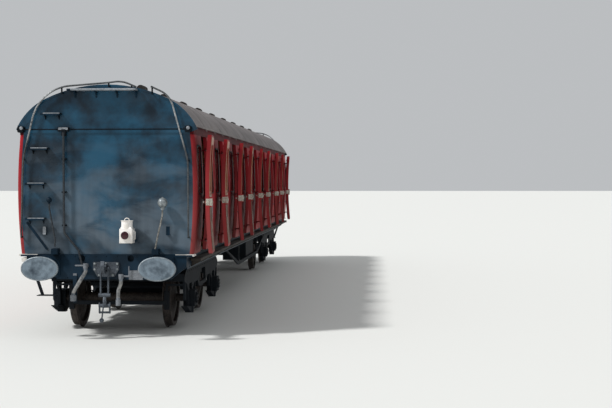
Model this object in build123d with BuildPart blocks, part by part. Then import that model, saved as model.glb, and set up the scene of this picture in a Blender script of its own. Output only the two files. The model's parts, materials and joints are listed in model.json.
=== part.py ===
# Compartment coach with side doors, on two four-wheel bogies. Millimetres, +Z up.
# Its length lies along Y: the end with the tail lamp is at -Y, the platform side is +X.
# Height 0 is the lowest point of the wheel flanges; X and Y are 0 at the middle of the coach.
import os
from math import atan2, cos, degrees, radians, sin, sqrt

from build123d import *

os.makedirs("parts", exist_ok=True)

# Body
body_length = 17410
half_width = 1372
waist_height = 2222
tumblehome_radius = 8670
body_bottom = 1265
wall = 60
end_wall = 50
end_corner_radius = 45
floor_thickness = 50

# Roof arch: a flat crown arc and two tighter side arcs, tangent to each other
roof_top = 3822
roof_thickness = 30
crown_radius = 2168
crown_angle = 25.4
eave_radius = 938
eave_angle = 61.4
gutter_width = 40
gutter_height = 26
gutter_overlap = 2

# Compartments and doors
compartments = 9
door_width = 610
door_gap = 5
door_foot_gap = 12
door_head = 3067
partition = 40
hinge_standoff = 32
hinge_knuckle = 28
hinge_leaf = 40
hinge_height = 24
hinge_play = 0.3
hinge_root = 10
hinge_levels = (1452, 2112, 2852)
door_open_angles = (175, 176, 172, 175, 174, 176, 173, 175, 174)
lock_height = 2050
lock_inset = 55
lock_width = 90
lock_tall = 150
lock_depth = 40
handle_reach = 36
handle_stem = 11
handle_length = 120
handle_width = 22
handle_thickness = 10
hood_width = 380
hood_rise = 28
hood_height = 46
hood_reach = 13

# Windows
sill_height = 2172
window_head = 2912
window_radius = 55
door_window_width = 430
quarterlight_width = 400
quarterlight_from_door = 95
pane = 6
pane_lap = 14
pane_depth = 56

# Seats and racks
seat_depth = 520
seat_length = 2480
seat_base_depth = 400
seat_base_height = 300
cushion_height = 140
cushion_nose = 45
seat_back_height = 920
seat_back_foot = 130
seat_back_top = 80
rack_height = 2772
rack_depth = 280
rack_slat = 40
rack_slat_thickness = 12
rack_slats = 3
rack_bracket = 16
rack_bracket_drop = 90
rack_brackets = 3

# Underframe
solebar_height = 230
solebar_face = 1215
solebar_flange = 85
steel = 14
girder_face = 290
girder_width = 60
headstock_depth = 90
headstock_height = 380
headstock_width = 2440
headstock_taper = 240
headstock_hole_radius = 50
headstock_hole_x = 374
headstock_hole_drop = 64
ledge_inner = 1050
ledge_outer = 1306
ledge_reach = 60
ledge_thickness = 25
ledge_drop = 10
crossbar = 120
crossbar_count = 8
body_bolster_width = 300
body_bolster_height = 130
pivot_radius = 180

# Wheels
bogie_centres = 12192
bogie_wheelbase = 2591
tread_radius = 457
tread_cone = 4
flange_height = 28
flange_thickness = 30
wheel_width = 127
back_to_back = 1362
rim_thickness = 60
web_thickness = 30
web_inset = 50
hub_radius = 120
hub_overhang = 20
axle_radius = 80
journal_radius = 62
journal_end = 1110
axle_height = tread_radius + flange_height

# Bogie frames
frame_face = 1060
frame_plate = 40
frame_top = 950
frame_depth = 230
frame_end = 1880
frame_lip = 90
horn_foot = 365
window_half_length = 330
window_top = 870
window_foot = 650
window_corner = 60
box_width = 250
box_height = 260
box_depth = 190
box_inset = 5
cover_radius = 88
cover_thickness = 22
spring_leaves = 6
spring_leaf = 16
spring_span = 1000
spring_camber = 45
spring_width = 100
spring_inset = 20
buckle_width = 110
spring_link = 40
spring_link_thickness = 16
bolster_width = 340
bolster_top = 992
bolster_height = 170
bearer_height = 40
transom_place = 345
transom_height = 180
pivot_gap = 0.3
bearing_gap = 0.3
end_beam = 30
end_beam_height = 120
coil_radius = 60
coil_spacing = 150
plank_height = 60
plank_foot = 560

# Brake gear
block_thickness = 50
block_angle = 34
block_width = 80
block_place = 80
brake_gap = 8
hanger = 30
hanger_length = 260
brake_beam_drop = 40

# Buffers
buffer_spacing = 1740
buffer_height = 1082
buffer_reach = 580
buffer_head_width = 556
buffer_head_height = 356
buffer_head_thickness = 42
buffer_head_edge = 10
buffer_shank_radius = 62
buffer_case_radius = 100
buffer_case_flare = 145
buffer_case_length = 300
buffer_collar_radius = 118
buffer_collar_length = 45
buffer_plate = 25
buffer_plate_side = 330

# Draw gear and screw coupling. The hook's outline columns: out from its plate, above its middle
hook_height = 1056
hook_plate_width = 396
hook_plate_foot = 260
hook_plate_height = 222
hook_plate_rise = 92
hook_plate_thickness = 22
hook_thickness = 56
coupling_reach = 92
link_width = 50
link_thickness = 20
link_spacing = 116
link_foot = 660
pin_radius = 20
trunnion_radius = 30
screw_radius = 24
screw_foot = 470
shackle_foot = 400
bar_radius = 11
bar_foot = 285
bar_lean = -35
bar_ball = 34

# Fittings of the coach's ends
tread_width = 290
tread_depth = 150
tread_thickness = 10
tread_bracket = 90
tread_bracket_width = 10
tread_bracket_spacing = 0.72
lower_step_height = 650
lower_step_x = -880
strap_width = 50
rail_radius = 13
rail_standoff = 60
clip_width = 24
clip_thickness = 8
roof_board_length = 1040
roof_board_x = -44
roof_board_depth = 170
roof_board_height = 3738
roof_board_thickness = 25
roof_bracket_xs = (-472, -151, 170, 455)
roof_bracket_drop = 120
roof_bracket_width = 20
vent_length = 270
vent_width = 125
vent_height = 105
vent_sink = 15
vent_place = 350
vent_round = 42

# Alarm gear across the end and its pipe
alarm_height = 3147
alarm_rod_radius = 9
alarm_rod_left = -1300
alarm_rod_right = 1250
alarm_standoff = 32
indicator_width = 96
indicator_depth = 60
indicator_disc = 52
valve_x = -648
valve_width = 165
valve_height = 60
valve_drop = 105
pipe_radius = 16
pipe_plane = 72

# Tail lamp
lamp_x = 341
lamp_foot = 1441
lamp_width = 200
lamp_depth = 170
lamp_corner = 14
lamp_height = 215
lamp_standoff = 70
shoulder_height = 28
chimney_radius = 84
chimney_height = 94
chimney_cap = 8
lens_x = 331
lens_height = 1559
lens_radius = 58
bezel_radius = 68
bezel_depth = 26
loop_radius = 36
wire_radius = 6

# Rods, lamp irons and hoses
rod_radius = 12
rod_sides = 8
rod_standoff = 110
iron_width = 54
iron_height = 133
iron_thickness = 12
iron_standoff = 55
strut_width = 34
strut_thickness = 12
rod_box = 100
rod_box_height = 85
hose_radius = 27
hose_plane = 110
cock_radius = 36
pipe_stub_radius = 28
cock_lever = 165
cock_lever_x = 352
parked_handle_x = -462
coupling_head_radius = 44
side_plate_width = 214
side_plate_height = 141
side_plate_x = 452
side_plate_foot = 881
side_plate_thickness = 12

# Boards, boxes and tanks below the body
board_height = 1167
board_thickness = 40
board_inner = 1232
board_outer = 1390
board_length = 16900
board_bracket = 60
board_bracket_drop = 95
truss_depth = 420
truss_half_span = 3900
truss_flat_half_span = 1900
truss_bar = 70
battery_box_width = 520
battery_box_length = 1500
battery_box_height = 440
battery_box_x = 880
battery_box_y = 600
battery_lid = 40
tank_radius = 265
tank_height = 360
tank_round = 80
tank_places = (-1750, 1750)
generator_radius = 170
generator_length = 560
generator_x = 520
generator_y = 2900
generator_drop = 270
generator_cap = 60
generator_arm = 160

half_length = body_length / 2
pitch = body_length / compartments
door_centres = [pitch * (number + 0.5) - half_length for number in range(compartments)]
partition_places = [pitch * number - half_length for number in range(1, compartments)]
door_foot = body_bottom + door_foot_gap
hinge_x = half_width + hinge_standoff
hinge_y = -(door_width + door_gap) / 2
window_height = window_head - sill_height
window_middle = (window_head + sill_height) / 2
floor_top = body_bottom + floor_thickness
bogie_places = (-bogie_centres / 2, bogie_centres / 2)
axle_place = bogie_wheelbase / 2
above_roof = roof_top + 500
cantrail_reach = roof_top - 400
headstock_face = half_length + headstock_depth / 2
solebar_foot = body_bottom - solebar_height


def side_x(height):
    """Half-width over the curved side at a height."""
    drop = height - waist_height
    return half_width - tumblehome_radius + sqrt(tumblehome_radius**2 - drop**2)


def across(y):
    """Plane across the coach at a place along it: right is +X, up is +Z."""
    return Plane.XZ.offset(-y)


def in_front(distance):
    """Plane across the coach, a distance in front of its near end wall."""
    return across(-half_length - distance)


def side_arc(side, low, high, inset):
    """Curve of one body side between two heights, moved in by a wall."""
    middle = (low + high) / 2
    points = [(side * (side_x(height) - inset), height) for height in (low, middle, high)]
    return ThreePointArc(*points)


def wall_strip(side, low, high):
    """Section of one curved side wall between two heights."""
    with BuildSketch(mode=Mode.PRIVATE) as strip:
        with BuildLine():
            outer = side_arc(side, low, high, 0)
            inner = side_arc(side, low, high, wall)
            Line(outer @ 0, inner @ 0)
            Line(outer @ 1, inner @ 1)
        make_face()
    return strip.sketch


def roof_arcs(inset):
    """The three arcs of the roof, moved in from its outer face, and their two ends."""
    crown_centre = Vector(0, roof_top - crown_radius)
    reach = crown_radius - eave_radius
    offset_x = reach * sin(radians(crown_angle))
    offset_z = reach * cos(radians(crown_angle))
    right_centre = crown_centre + Vector(offset_x, offset_z)
    left_centre = crown_centre + Vector(-offset_x, offset_z)
    bend = eave_angle - crown_angle
    right = CenterArc(right_centre, eave_radius - inset, 90 - eave_angle, bend)
    CenterArc(crown_centre, crown_radius - inset, 90 - crown_angle, 2 * crown_angle)
    left = CenterArc(left_centre, eave_radius - inset, 90 + crown_angle, bend)
    return right @ 0, left @ 1


def roof_height(x):
    """Height of the roof's crown arc at a distance from the middle."""
    return roof_top - crown_radius + sqrt(crown_radius**2 - x**2)


def under_roof(inset=roof_thickness):
    """Everything below the roof's inner face, or below its outer face with no inset."""
    with BuildSketch(mode=Mode.PRIVATE) as space:
        with BuildLine():
            right, left = roof_arcs(inset)
            Polyline(right, (right.X, 0), (left.X, 0), left)
        make_face()
    return space.sketch


def inside_body():
    """Section of the body's inside, from its bottom to the roof's inner face."""
    with BuildSketch(mode=Mode.PRIVATE) as space:
        with BuildLine():
            right = side_arc(1, body_bottom, above_roof, wall)
            left = side_arc(-1, body_bottom, above_roof, wall)
            Line(right @ 0, left @ 0)
            Line(right @ 1, left @ 1)
        make_face()
        add(under_roof(), mode=Mode.INTERSECT)
    return space.sketch


def bent_rod(points, radius, bends):
    """Rod along straight runs joined by arcs, one bend radius for each inner point."""
    with BuildPart(mode=Mode.PRIVATE) as rod:
        with BuildLine() as path:
            FilletPolyline(*points, radius=bends)
        with BuildSketch(Plane(origin=path.line @ 0, z_dir=path.line % 0)):
            RegularPolygon(radius, rod_sides)
        sweep()
    return rod.part


def straight_rod(start, end, radius):
    """Rod between two points, with flats in place of its round."""
    with BuildPart(mode=Mode.PRIVATE) as rod:
        run = Vector(*end) - Vector(*start)
        with BuildSketch(Plane(origin=start, z_dir=run)):
            RegularPolygon(radius, rod_sides)
        extrude(amount=run.length)
    return rod.part


def write(part, name):
    """Label one finished piece and write its file."""
    part.label = name
    export_step(part, f"parts/{name}.step")


def write_with_far_copy(part, name):
    """Write a piece of the near end together with its copy at the far end."""
    with BuildPart() as pair:
        add(part)
        add(part, rotation=(0, 0, 180))
    write(pair.part, name)


def door_lug(level, towards_door):
    """Hinge lug, from the side's face out to the knuckle on the hinge line."""
    outer = hinge_x + hinge_knuckle / 2
    inner = side_x(level) - hinge_root
    knuckle = hinge_knuckle / 2 * towards_door
    lift = hinge_play if towards_door > 0 else -hinge_height
    with BuildPart(mode=Mode.PRIVATE) as lug:
        with BuildSketch(Plane.XY.offset(level + lift)):
            with BuildLine():
                Polyline(
                    (outer, hinge_y - knuckle),
                    (outer - hinge_knuckle, hinge_y - knuckle),
                    (outer - hinge_knuckle, hinge_y + knuckle / 2),
                    (inner, hinge_y + knuckle / 2),
                    (inner, hinge_y + hinge_leaf * towards_door),
                    (outer - hinge_knuckle / 2, hinge_y + hinge_leaf * towards_door),
                    (outer, hinge_y + knuckle),
                    close=True,
                )
            make_face()
        extrude(amount=hinge_height)
    return lug.part


# Body side panels between the doors, with the quarterlight windows
quarterlight_offset = door_width / 2 + quarterlight_from_door + quarterlight_width / 2
quarterlights = [
    (centre + way * quarterlight_offset, window_middle)
    for centre in door_centres
    for way in (-1, 1)
]
pane_face = half_width - pane_depth + pane
doorway_height = door_head - body_bottom
with BuildPart() as side_panels:
    with BuildSketch(across(-half_length)):
        add(wall_strip(1, body_bottom, door_head))
    extrude(amount=-body_length)
    corners = side_panels.edges().group_by(Axis.X)[-1].filter_by(GeomType.CIRCLE)
    fillet(corners, radius=end_corner_radius)
    with Locations(*[(half_width, y, body_bottom + doorway_height / 2) for y in door_centres]):
        Box(6 * wall, door_width + 2 * door_gap, doorway_height + 2 * door_gap, mode=Mode.SUBTRACT)
    with BuildSketch(Plane.YZ):
        with Locations(*quarterlights):
            RectangleRounded(quarterlight_width, window_height, window_radius)
    extrude(amount=2 * half_width, mode=Mode.SUBTRACT)
    with BuildSketch(Plane.YZ.offset(pane_face)):
        with Locations(*quarterlights):
            Rectangle(quarterlight_width + 2 * pane_lap, window_height + 2 * pane_lap)
    extrude(amount=-4 * wall, mode=Mode.SUBTRACT)
    for centre in door_centres:
        for level in hinge_levels:
            add(door_lug(level, -1).moved(Location((0, centre, 0))))
write(side_panels.part, "side_panels_right")
with BuildPart() as left_panels:
    add(side_panels.part, rotation=(0, 0, 180))
write(left_panels.part, "side_panels_left")

with BuildPart() as panes:
    with BuildSketch(Plane.YZ.offset(pane_face)):
        with Locations(*quarterlights):
            Rectangle(quarterlight_width + 2 * pane_lap, window_height + 2 * pane_lap)
    extrude(amount=-pane)
write_with_far_copy(panes.part, "quarterlight_glass")

with BuildPart() as cantrails:
    with BuildSketch(across(-half_length)):
        add(wall_strip(1, door_head, cantrail_reach))
        add(wall_strip(-1, door_head, cantrail_reach))
        add(under_roof(), mode=Mode.INTERSECT)
    extrude(amount=-body_length)
write(cantrails.part, "cantrails")

# Doors: built shut in the middle of the right side, then set to each doorway
lock_y = door_width / 2 - lock_inset
hood_foot = window_head + hood_rise
with BuildPart() as door:
    with BuildSketch(across(-door_width / 2)):
        add(wall_strip(1, door_foot, door_head - door_gap))
    extrude(amount=-door_width)
    with BuildSketch(Plane.YZ):
        with Locations((0, window_middle)):
            RectangleRounded(door_window_width, window_height, window_radius)
    extrude(amount=2 * half_width, mode=Mode.SUBTRACT)
    for level in hinge_levels:
        add(door_lug(level, 1))
    # Outside handle: a stem and a lever lying along the door
    outer_face = side_x(lock_height)
    with BuildSketch(Plane.YZ.offset(outer_face - hinge_root)):
        with Locations((lock_y, lock_height)):
            RegularPolygon(handle_stem, rod_sides)
    extrude(amount=handle_reach + hinge_root)
    with BuildSketch(Plane.YZ.offset(outer_face + handle_reach)):
        with Locations((lock_y - handle_length / 3, lock_height)):
            SlotOverall(handle_length, handle_width)
    extrude(amount=-handle_thickness)
    # Lock on the inner face, by the free edge
    with BuildSketch(Plane.YZ.offset(outer_face - wall - lock_depth)):
        with Locations((lock_y, lock_height)):
            Rectangle(lock_width, lock_tall)
    extrude(amount=lock_depth + hinge_root)
    # Ventilator hood over the window
    hood_face = side_x(hood_foot) - hinge_root
    with BuildSketch(across(-hood_width / 2)):
        with BuildLine():
            Polyline(
                (hood_face, hood_foot),
                (hood_face + hinge_root + hood_reach, hood_foot),
                (hood_face + hinge_root + hood_reach, hood_foot + hood_height / 2),
                (hood_face, hood_foot + hood_height),
                close=True,
            )
        make_face()
    extrude(amount=-hood_width)

hinge_line = Axis((hinge_x, hinge_y, 0), (0, 0, 1))
for number, centre in enumerate(door_centres):
    open_door = door.part.rotate(hinge_line, -door_open_angles[number])
    write(open_door.moved(Location((0, centre, 0))), f"door_right_{number + 1}")
    left_door = door.part.rotate(Axis.Z, 180).moved(Location((0, centre, 0)))
    write(left_door, f"door_left_{number + 1}")

# End walls, roof, floor and partitions
with BuildPart() as end_wall_near:
    with BuildSketch(across(-half_length)):
        add(inside_body())
    extrude(amount=-end_wall)
write_with_far_copy(end_wall_near.part, "end_walls")

with BuildPart() as roof:
    with BuildSketch(across(-half_length)):
        with BuildLine():
            outer_right, outer_left = roof_arcs(0)
            inner_right, inner_left = roof_arcs(roof_thickness)
            Line(outer_right, inner_right)
            Line(outer_left, inner_left)
        make_face()
        gutter_x = inner_right.X + gutter_width / 2 - gutter_overlap
        with Locations((gutter_x, inner_right.Y), (-gutter_x, inner_right.Y)):
            Rectangle(gutter_width, gutter_height)
    extrude(amount=-body_length)
write(roof.part, "roof")

floor_length = body_length - 2 * end_wall
with BuildPart() as floor:
    with BuildSketch(across(-floor_length / 2)):
        with Locations((0, body_bottom + floor_thickness / 2)):
            Rectangle(2 * (side_x(body_bottom) - wall), floor_thickness)
    extrude(amount=-floor_length)
write(floor.part, "floor")

with BuildPart() as partitions:
    for place in partition_places:
        with BuildSketch(across(place - partition / 2)):
            add(inside_body())
            with Locations((0, body_bottom)):
                Rectangle(2 * half_width, 2 * floor_thickness, mode=Mode.SUBTRACT)
        extrude(amount=-partition)
write(partitions.part, "partitions")

# Seats: one bench against each side of each partition and against the end walls.
# Each row holds the wall's face and the way the bench looks.
benches = [(end_wall - half_length, 1), (half_length - end_wall, -1)]
for place in partition_places:
    benches.append((place + partition / 2, 1))
    benches.append((place - partition / 2, -1))
cushion_foot = floor_top + seat_base_height
cushion_top = cushion_foot + cushion_height

with BuildPart() as seat_bases:
    for face, way in benches:
        with Locations((0, face + way * seat_base_depth / 2, floor_top + seat_base_height / 2)):
            Box(seat_length, seat_base_depth, seat_base_height)
write(seat_bases.part, "seat_bases")

with BuildPart() as seat_cushions:
    for face, way in benches:
        nose = face + way * seat_depth
        bend = nose - way * cushion_nose
        with BuildSketch(Plane.YZ):
            with BuildLine():
                Polyline((bend, cushion_foot), (face, cushion_foot), (face, cushion_top), (bend, cushion_top))
                ThreePointArc((bend, cushion_top), (nose, (cushion_foot + cushion_top) / 2), (bend, cushion_foot))
            make_face()
        extrude(amount=seat_length / 2, both=True)
write(seat_cushions.part, "seat_cushions")

with BuildPart() as seat_backs:
    for face, way in benches:
        with BuildSketch(Plane.YZ):
            with BuildLine():
                Polyline(
                    (face, cushion_top),
                    (face + way * seat_back_foot, cushion_top),
                    (face + way * seat_back_top, cushion_top + seat_back_height),
                    (face, cushion_top + seat_back_height),
                    close=True,
                )
            make_face()
        extrude(amount=seat_length / 2, both=True)
write(seat_backs.part, "seat_backs")

# Luggage racks: slats along the wall, on brackets that taper down to it
slat_pitch = (rack_depth - rack_slat) / (rack_slats - 1)
bracket_pitch = (seat_length - rack_bracket) / (rack_brackets - 1)
slat_places = [
    (face + way * (rack_slat / 2 + number * slat_pitch), rack_height + rack_slat_thickness / 2)
    for face, way in benches
    for number in range(rack_slats)
]
with BuildPart() as luggage_racks:
    with BuildSketch(Plane.YZ):
        with Locations(*slat_places):
            Rectangle(rack_slat, rack_slat_thickness)
    extrude(amount=seat_length / 2, both=True)
    with BuildSketch(Plane.YZ) as bracket_shapes:
        for face, way in benches:
            with BuildLine():
                Polyline(
                    (face, rack_height),
                    (face + way * rack_depth, rack_height),
                    (face + way * rack_depth, rack_height - rack_bracket),
                    (face, rack_height - rack_bracket_drop),
                    close=True,
                )
            make_face()
    brackets = extrude(amount=rack_bracket / 2, both=True, mode=Mode.PRIVATE)
    for number in range(rack_brackets):
        bracket_x = number * bracket_pitch - (seat_length - rack_bracket) / 2
        add(brackets.moved(Location((bracket_x, 0, 0))))
write(luggage_racks.part, "luggage_racks")

# Underframe
solebar_length = body_length - headstock_depth
with BuildPart() as underframe:
    with BuildSketch(across(-solebar_length / 2)):
        for side in (-1, 1):
            with Locations((side * (solebar_face - steel / 2), body_bottom - solebar_height / 2)):
                Rectangle(steel, solebar_height)
            for height in (body_bottom - steel / 2, solebar_foot + steel / 2):
                with Locations((side * (solebar_face - solebar_flange / 2), height)):
                    Rectangle(solebar_flange, steel)
            with Locations((side * (girder_face - girder_width / 2), body_bottom - solebar_height / 2)):
                Rectangle(girder_width, solebar_height)
    extrude(amount=-solebar_length)
    crossbar_pitch = solebar_length / (crossbar_count + 1)
    for number in range(1, crossbar_count + 1):
        place = number * crossbar_pitch - solebar_length / 2
        with Locations((0, place, body_bottom - crossbar / 2)):
            Box(2 * (solebar_face - steel), steel, crossbar)
    bolster_foot = body_bottom - body_bolster_height
    pivot_height = bolster_foot - bolster_top - pivot_gap
    for place in bogie_places:
        with Locations((0, place, body_bottom - body_bolster_height / 2)):
            Box(2 * (solebar_face - steel), body_bolster_width, body_bolster_height)
        with Locations((0, place, bolster_foot - pivot_height / 2)):
            Cylinder(pivot_radius, pivot_height)
    for way in (-1, 1):
        with BuildSketch(across(way * half_length)):
            with BuildLine():
                Polyline(
                    (headstock_width / 2, body_bottom),
                    (headstock_width / 2, body_bottom - headstock_height / 2),
                    (headstock_width / 2 - headstock_taper, body_bottom - headstock_height),
                    (headstock_taper - headstock_width / 2, body_bottom - headstock_height),
                    (-headstock_width / 2, body_bottom - headstock_height / 2),
                    (-headstock_width / 2, body_bottom),
                    close=True,
                )
            make_face()
            with Locations(
                (headstock_hole_x, body_bottom - headstock_hole_drop),
                (-headstock_hole_x, body_bottom - headstock_hole_drop),
            ):
                Circle(headstock_hole_radius, mode=Mode.SUBTRACT)
        extrude(amount=headstock_depth / 2, both=True)
        # Blank plates close the holes at the back
        for hole_x in (-headstock_hole_x, headstock_hole_x):
            back_y = way * (half_length - (headstock_depth - steel) / 2)
            with Locations((hole_x, back_y, body_bottom - headstock_hole_drop)):
                Box(2.2 * headstock_hole_radius, steel, 2.2 * headstock_hole_radius)
        for side in (-1, 1):
            ledge_x = side * (ledge_inner + ledge_outer) / 2
            ledge_z = body_bottom - ledge_drop - ledge_thickness / 2
            with Locations((ledge_x, way * (half_length + ledge_reach / 2), ledge_z)):
                Box(ledge_outer - ledge_inner, ledge_reach, ledge_thickness)
write(underframe.part, "underframe")

truss_low = solebar_foot - truss_depth
truss_points = (
    (-truss_half_span, solebar_foot),
    (-truss_flat_half_span, truss_low),
    (truss_flat_half_span, truss_low),
    (truss_half_span, solebar_foot),
)
with BuildPart() as truss:
    for side in (-1, 1):
        with BuildSketch(Plane.YZ.offset(side * (solebar_face - solebar_flange / 2))):
            with BuildLine():
                outer = Polyline(*truss_points)
                Polyline(
                    outer @ 1,
                    (truss_half_span - 2 * truss_bar, solebar_foot),
                    (truss_flat_half_span - truss_bar / 3, truss_low + truss_bar),
                    (truss_bar / 3 - truss_flat_half_span, truss_low + truss_bar),
                    (2 * truss_bar - truss_half_span, solebar_foot),
                    outer @ 0,
                )
            make_face()
            post_y = truss_flat_half_span - truss_bar
            with Locations((post_y, (solebar_foot + truss_low) / 2), (-post_y, (solebar_foot + truss_low) / 2)):
                Rectangle(truss_bar, truss_depth)
        extrude(amount=steel, both=True)
write(truss.part, "truss_bars")

# Footboards below the doors, on tapered brackets from the solebars
bracket_places = [centre + shift for centre in door_centres for shift in (-pitch / 4, pitch / 4)]
board_foot = board_height - board_thickness / 2
with BuildPart() as footboards:
    for side in (-1, 1):
        with Locations((side * (board_outer + board_inner) / 2, 0, board_height)):
            Box(board_outer - board_inner, board_length, board_thickness)
    with BuildSketch(Plane.XZ):
        for side in (-1, 1):
            with BuildLine():
                Polyline(
                    (side * solebar_face, board_foot),
                    (side * (board_outer - board_bracket / 2), board_foot),
                    (side * (board_outer - board_bracket / 2), board_foot - steel),
                    (side * solebar_face, board_foot - board_bracket_drop),
                    close=True,
                )
            make_face()
    brackets = extrude(amount=board_bracket / 2, both=True, mode=Mode.PRIVATE)
    with Locations(*[(0, place, 0) for place in bracket_places]):
        add(brackets)
write(footboards.part, "footboards")

with BuildPart() as battery_boxes:
    for side in (-1, 1):
        box_x, box_y = side * battery_box_x, side * battery_box_y
        with Locations((box_x, box_y, solebar_foot - battery_box_height / 2)):
            Box(battery_box_width, battery_box_length, battery_box_height)
        with Locations((box_x, box_y, solebar_foot - battery_lid / 2)):
            Box(battery_box_width + battery_lid, battery_box_length + battery_lid, battery_lid)
write(battery_boxes.part, "battery_boxes")

# Vacuum cylinders: upright drums with rounded lower ends
with BuildPart() as vacuum_cylinders:
    with Locations(*[(0, place, solebar_foot - tank_height / 2) for place in tank_places]):
        Cylinder(tank_radius, tank_height)
    fillet(vacuum_cylinders.edges().group_by(Axis.Z)[0], radius=tank_round)
write(vacuum_cylinders.part, "vacuum_cylinders")

# Generator: a stepped drum across the coach, hung on an arm
with BuildPart() as generator:
    drum_height = solebar_foot - generator_drop
    for length, radius in (
        (generator_length, generator_radius),
        (generator_length + generator_cap, generator_radius * 0.8),
        (generator_length + 2 * generator_cap, generator_radius * 0.35),
    ):
        with Locations((generator_x, generator_y, drum_height)):
            Cylinder(radius, length, rotation=(0, 90, 0))
    with Locations((generator_x, generator_y, solebar_foot - generator_drop / 2)):
        Box(generator_length / 2, generator_arm, generator_drop)
write(generator.part, "generator")

# Roof ventilators: rounded caps in two rows
vent_foot = roof_height(vent_place) - vent_sink
with BuildPart() as vents:
    for centre in door_centres:
        with BuildSketch(across(centre - vent_length / 2)):
            for side in (-1, 1):
                with BuildLine():
                    low = vent_foot + vent_height - vent_round
                    left, right = side * vent_place - vent_width / 2, side * vent_place + vent_width / 2
                    Polyline((left, low), (left, vent_foot), (right, vent_foot), (right, low))
                    ThreePointArc((right, low), (side * vent_place, vent_foot + vent_height), (left, low))
                make_face()
            add(under_roof(0), mode=Mode.SUBTRACT)
        extrude(amount=-vent_length)
write(vents.part, "roof_vents")

# Buffers
buffer_xs = (-buffer_spacing / 2, buffer_spacing / 2)
head_face = half_length + buffer_reach
case_face = headstock_face + buffer_case_length
with BuildPart() as buffer_cases:
    for x in buffer_xs:
        with BuildSketch(across(-headstock_face)):
            with Locations((x, buffer_height)):
                RectangleRounded(buffer_plate_side, buffer_plate_side, buffer_plate)
        extrude(amount=buffer_plate)
        with BuildSketch(Plane.XY.offset(buffer_height)):
            with BuildLine():
                Polyline(
                    (x, -headstock_face - buffer_plate),
                    (x + buffer_case_flare, -headstock_face - buffer_plate),
                    (x + buffer_case_radius, -headstock_face - buffer_case_length / 2),
                    (x + buffer_case_radius, -case_face + buffer_collar_length),
                    (x + buffer_collar_radius, -case_face + buffer_collar_length),
                    (x + buffer_collar_radius, -case_face),
                    (x, -case_face),
                    close=True,
                )
            make_face()
        revolve(axis=Axis((x, 0, buffer_height), (0, 1, 0)))
write_with_far_copy(buffer_cases.part, "buffer_cases")

with BuildPart() as buffer_heads:
    for x in buffer_xs:
        with BuildSketch(across(-head_face)):
            with Locations((x, buffer_height)):
                Ellipse(buffer_head_width / 2, buffer_head_height / 2)
        extrude(amount=-buffer_head_thickness)
        with BuildSketch(across(-head_face + buffer_head_thickness)):
            with Locations((x, buffer_height)):
                Circle(buffer_shank_radius)
        extrude(amount=-(head_face - case_face - buffer_head_thickness))
    chamfer(buffer_heads.faces().sort_by(Axis.Y)[:2].edges(), buffer_head_edge)
write_with_far_copy(buffer_heads.part, "buffer_heads")

# Drawhook and screw coupling, hanging from the hook's pin
hook_plane = Plane((0, -headstock_face - hook_plate_thickness, hook_height), (0, -1, 0), (-1, 0, 0))
coupling_y = -headstock_face - hook_plate_thickness - coupling_reach
with BuildPart() as draw_gear:
    with BuildSketch(across(-headstock_face)):
        with BuildLine():
            plate_top = hook_height + hook_plate_rise
            Polyline(
                (-hook_plate_width / 2, plate_top),
                (hook_plate_width / 2, plate_top),
                (hook_plate_width / 2, plate_top - hook_plate_height / 2),
                (hook_plate_foot / 2, plate_top - hook_plate_height),
                (-hook_plate_foot / 2, plate_top - hook_plate_height),
                (-hook_plate_width / 2, plate_top - hook_plate_height / 2),
                close=True,
            )
        make_face()
    extrude(amount=hook_plate_thickness)
    with BuildSketch(hook_plane):
        with BuildLine():
            Polyline((130, 52), (0, 46), (0, -50), (150, -62))
            ThreePointArc((150, -62), (238, -20), (256, 62))
            Polyline((256, 62), (228, 120), (202, 98))
            ThreePointArc((202, 98), (176, 26), (130, 52))
        make_face()
    extrude(amount=hook_thickness / 2, both=True)
    with Locations((0, coupling_y, hook_height)):
        Cylinder(pin_radius, link_spacing + link_thickness, rotation=(0, 90, 0))
    for side in (-1, 1):
        with BuildSketch(Plane.YZ.offset(side * link_spacing / 2)):
            with Locations((coupling_y, (hook_height + link_foot) / 2)):
                SlotCenterToCenter(hook_height - link_foot, link_width, rotation=90)
        extrude(amount=link_thickness / 2, both=True)
        with BuildSketch(Plane.YZ.offset(side * (link_spacing / 2 + link_thickness))):
            with Locations((coupling_y, (screw_foot + shackle_foot) / 2 + trunnion_radius)):
                SlotCenterToCenter(screw_foot - shackle_foot + 2 * trunnion_radius, link_width * 0.7, rotation=90)
        extrude(amount=link_thickness / 2, both=True)
    for height in (link_foot, screw_foot + trunnion_radius):
        with Locations((0, coupling_y, height)):
            Cylinder(trunnion_radius, link_spacing + 3 * link_thickness, rotation=(0, 90, 0))
    with Locations((0, coupling_y, shackle_foot)):
        Cylinder(pin_radius * 0.8, link_spacing + 2 * link_thickness, rotation=(0, 90, 0))
    add(straight_rod((0, coupling_y, link_foot), (0, coupling_y, screw_foot), screw_radius))
    bar_top = (0, coupling_y, (link_foot + screw_foot) / 2 + trunnion_radius)
    bar_end = (bar_lean, coupling_y - 2 * screw_radius, bar_foot)
    bar_knee = (0, coupling_y - 2 * screw_radius, bar_top[2] - trunnion_radius)
    add(straight_rod(bar_top, bar_knee, bar_radius))
    add(straight_rod(bar_knee, bar_end, bar_radius))
    with Locations(bar_knee):
        Sphere(bar_radius)
    with Locations(bar_end):
        Sphere(bar_ball)
write_with_far_copy(draw_gear.part, "draw_gear")

# End steps. Columns: middle of the tread across the coach, its height
end_steps_table = ((-824, 3384), (-1015, 2864), (-1069, 2336), (-1068, 1808))
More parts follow.
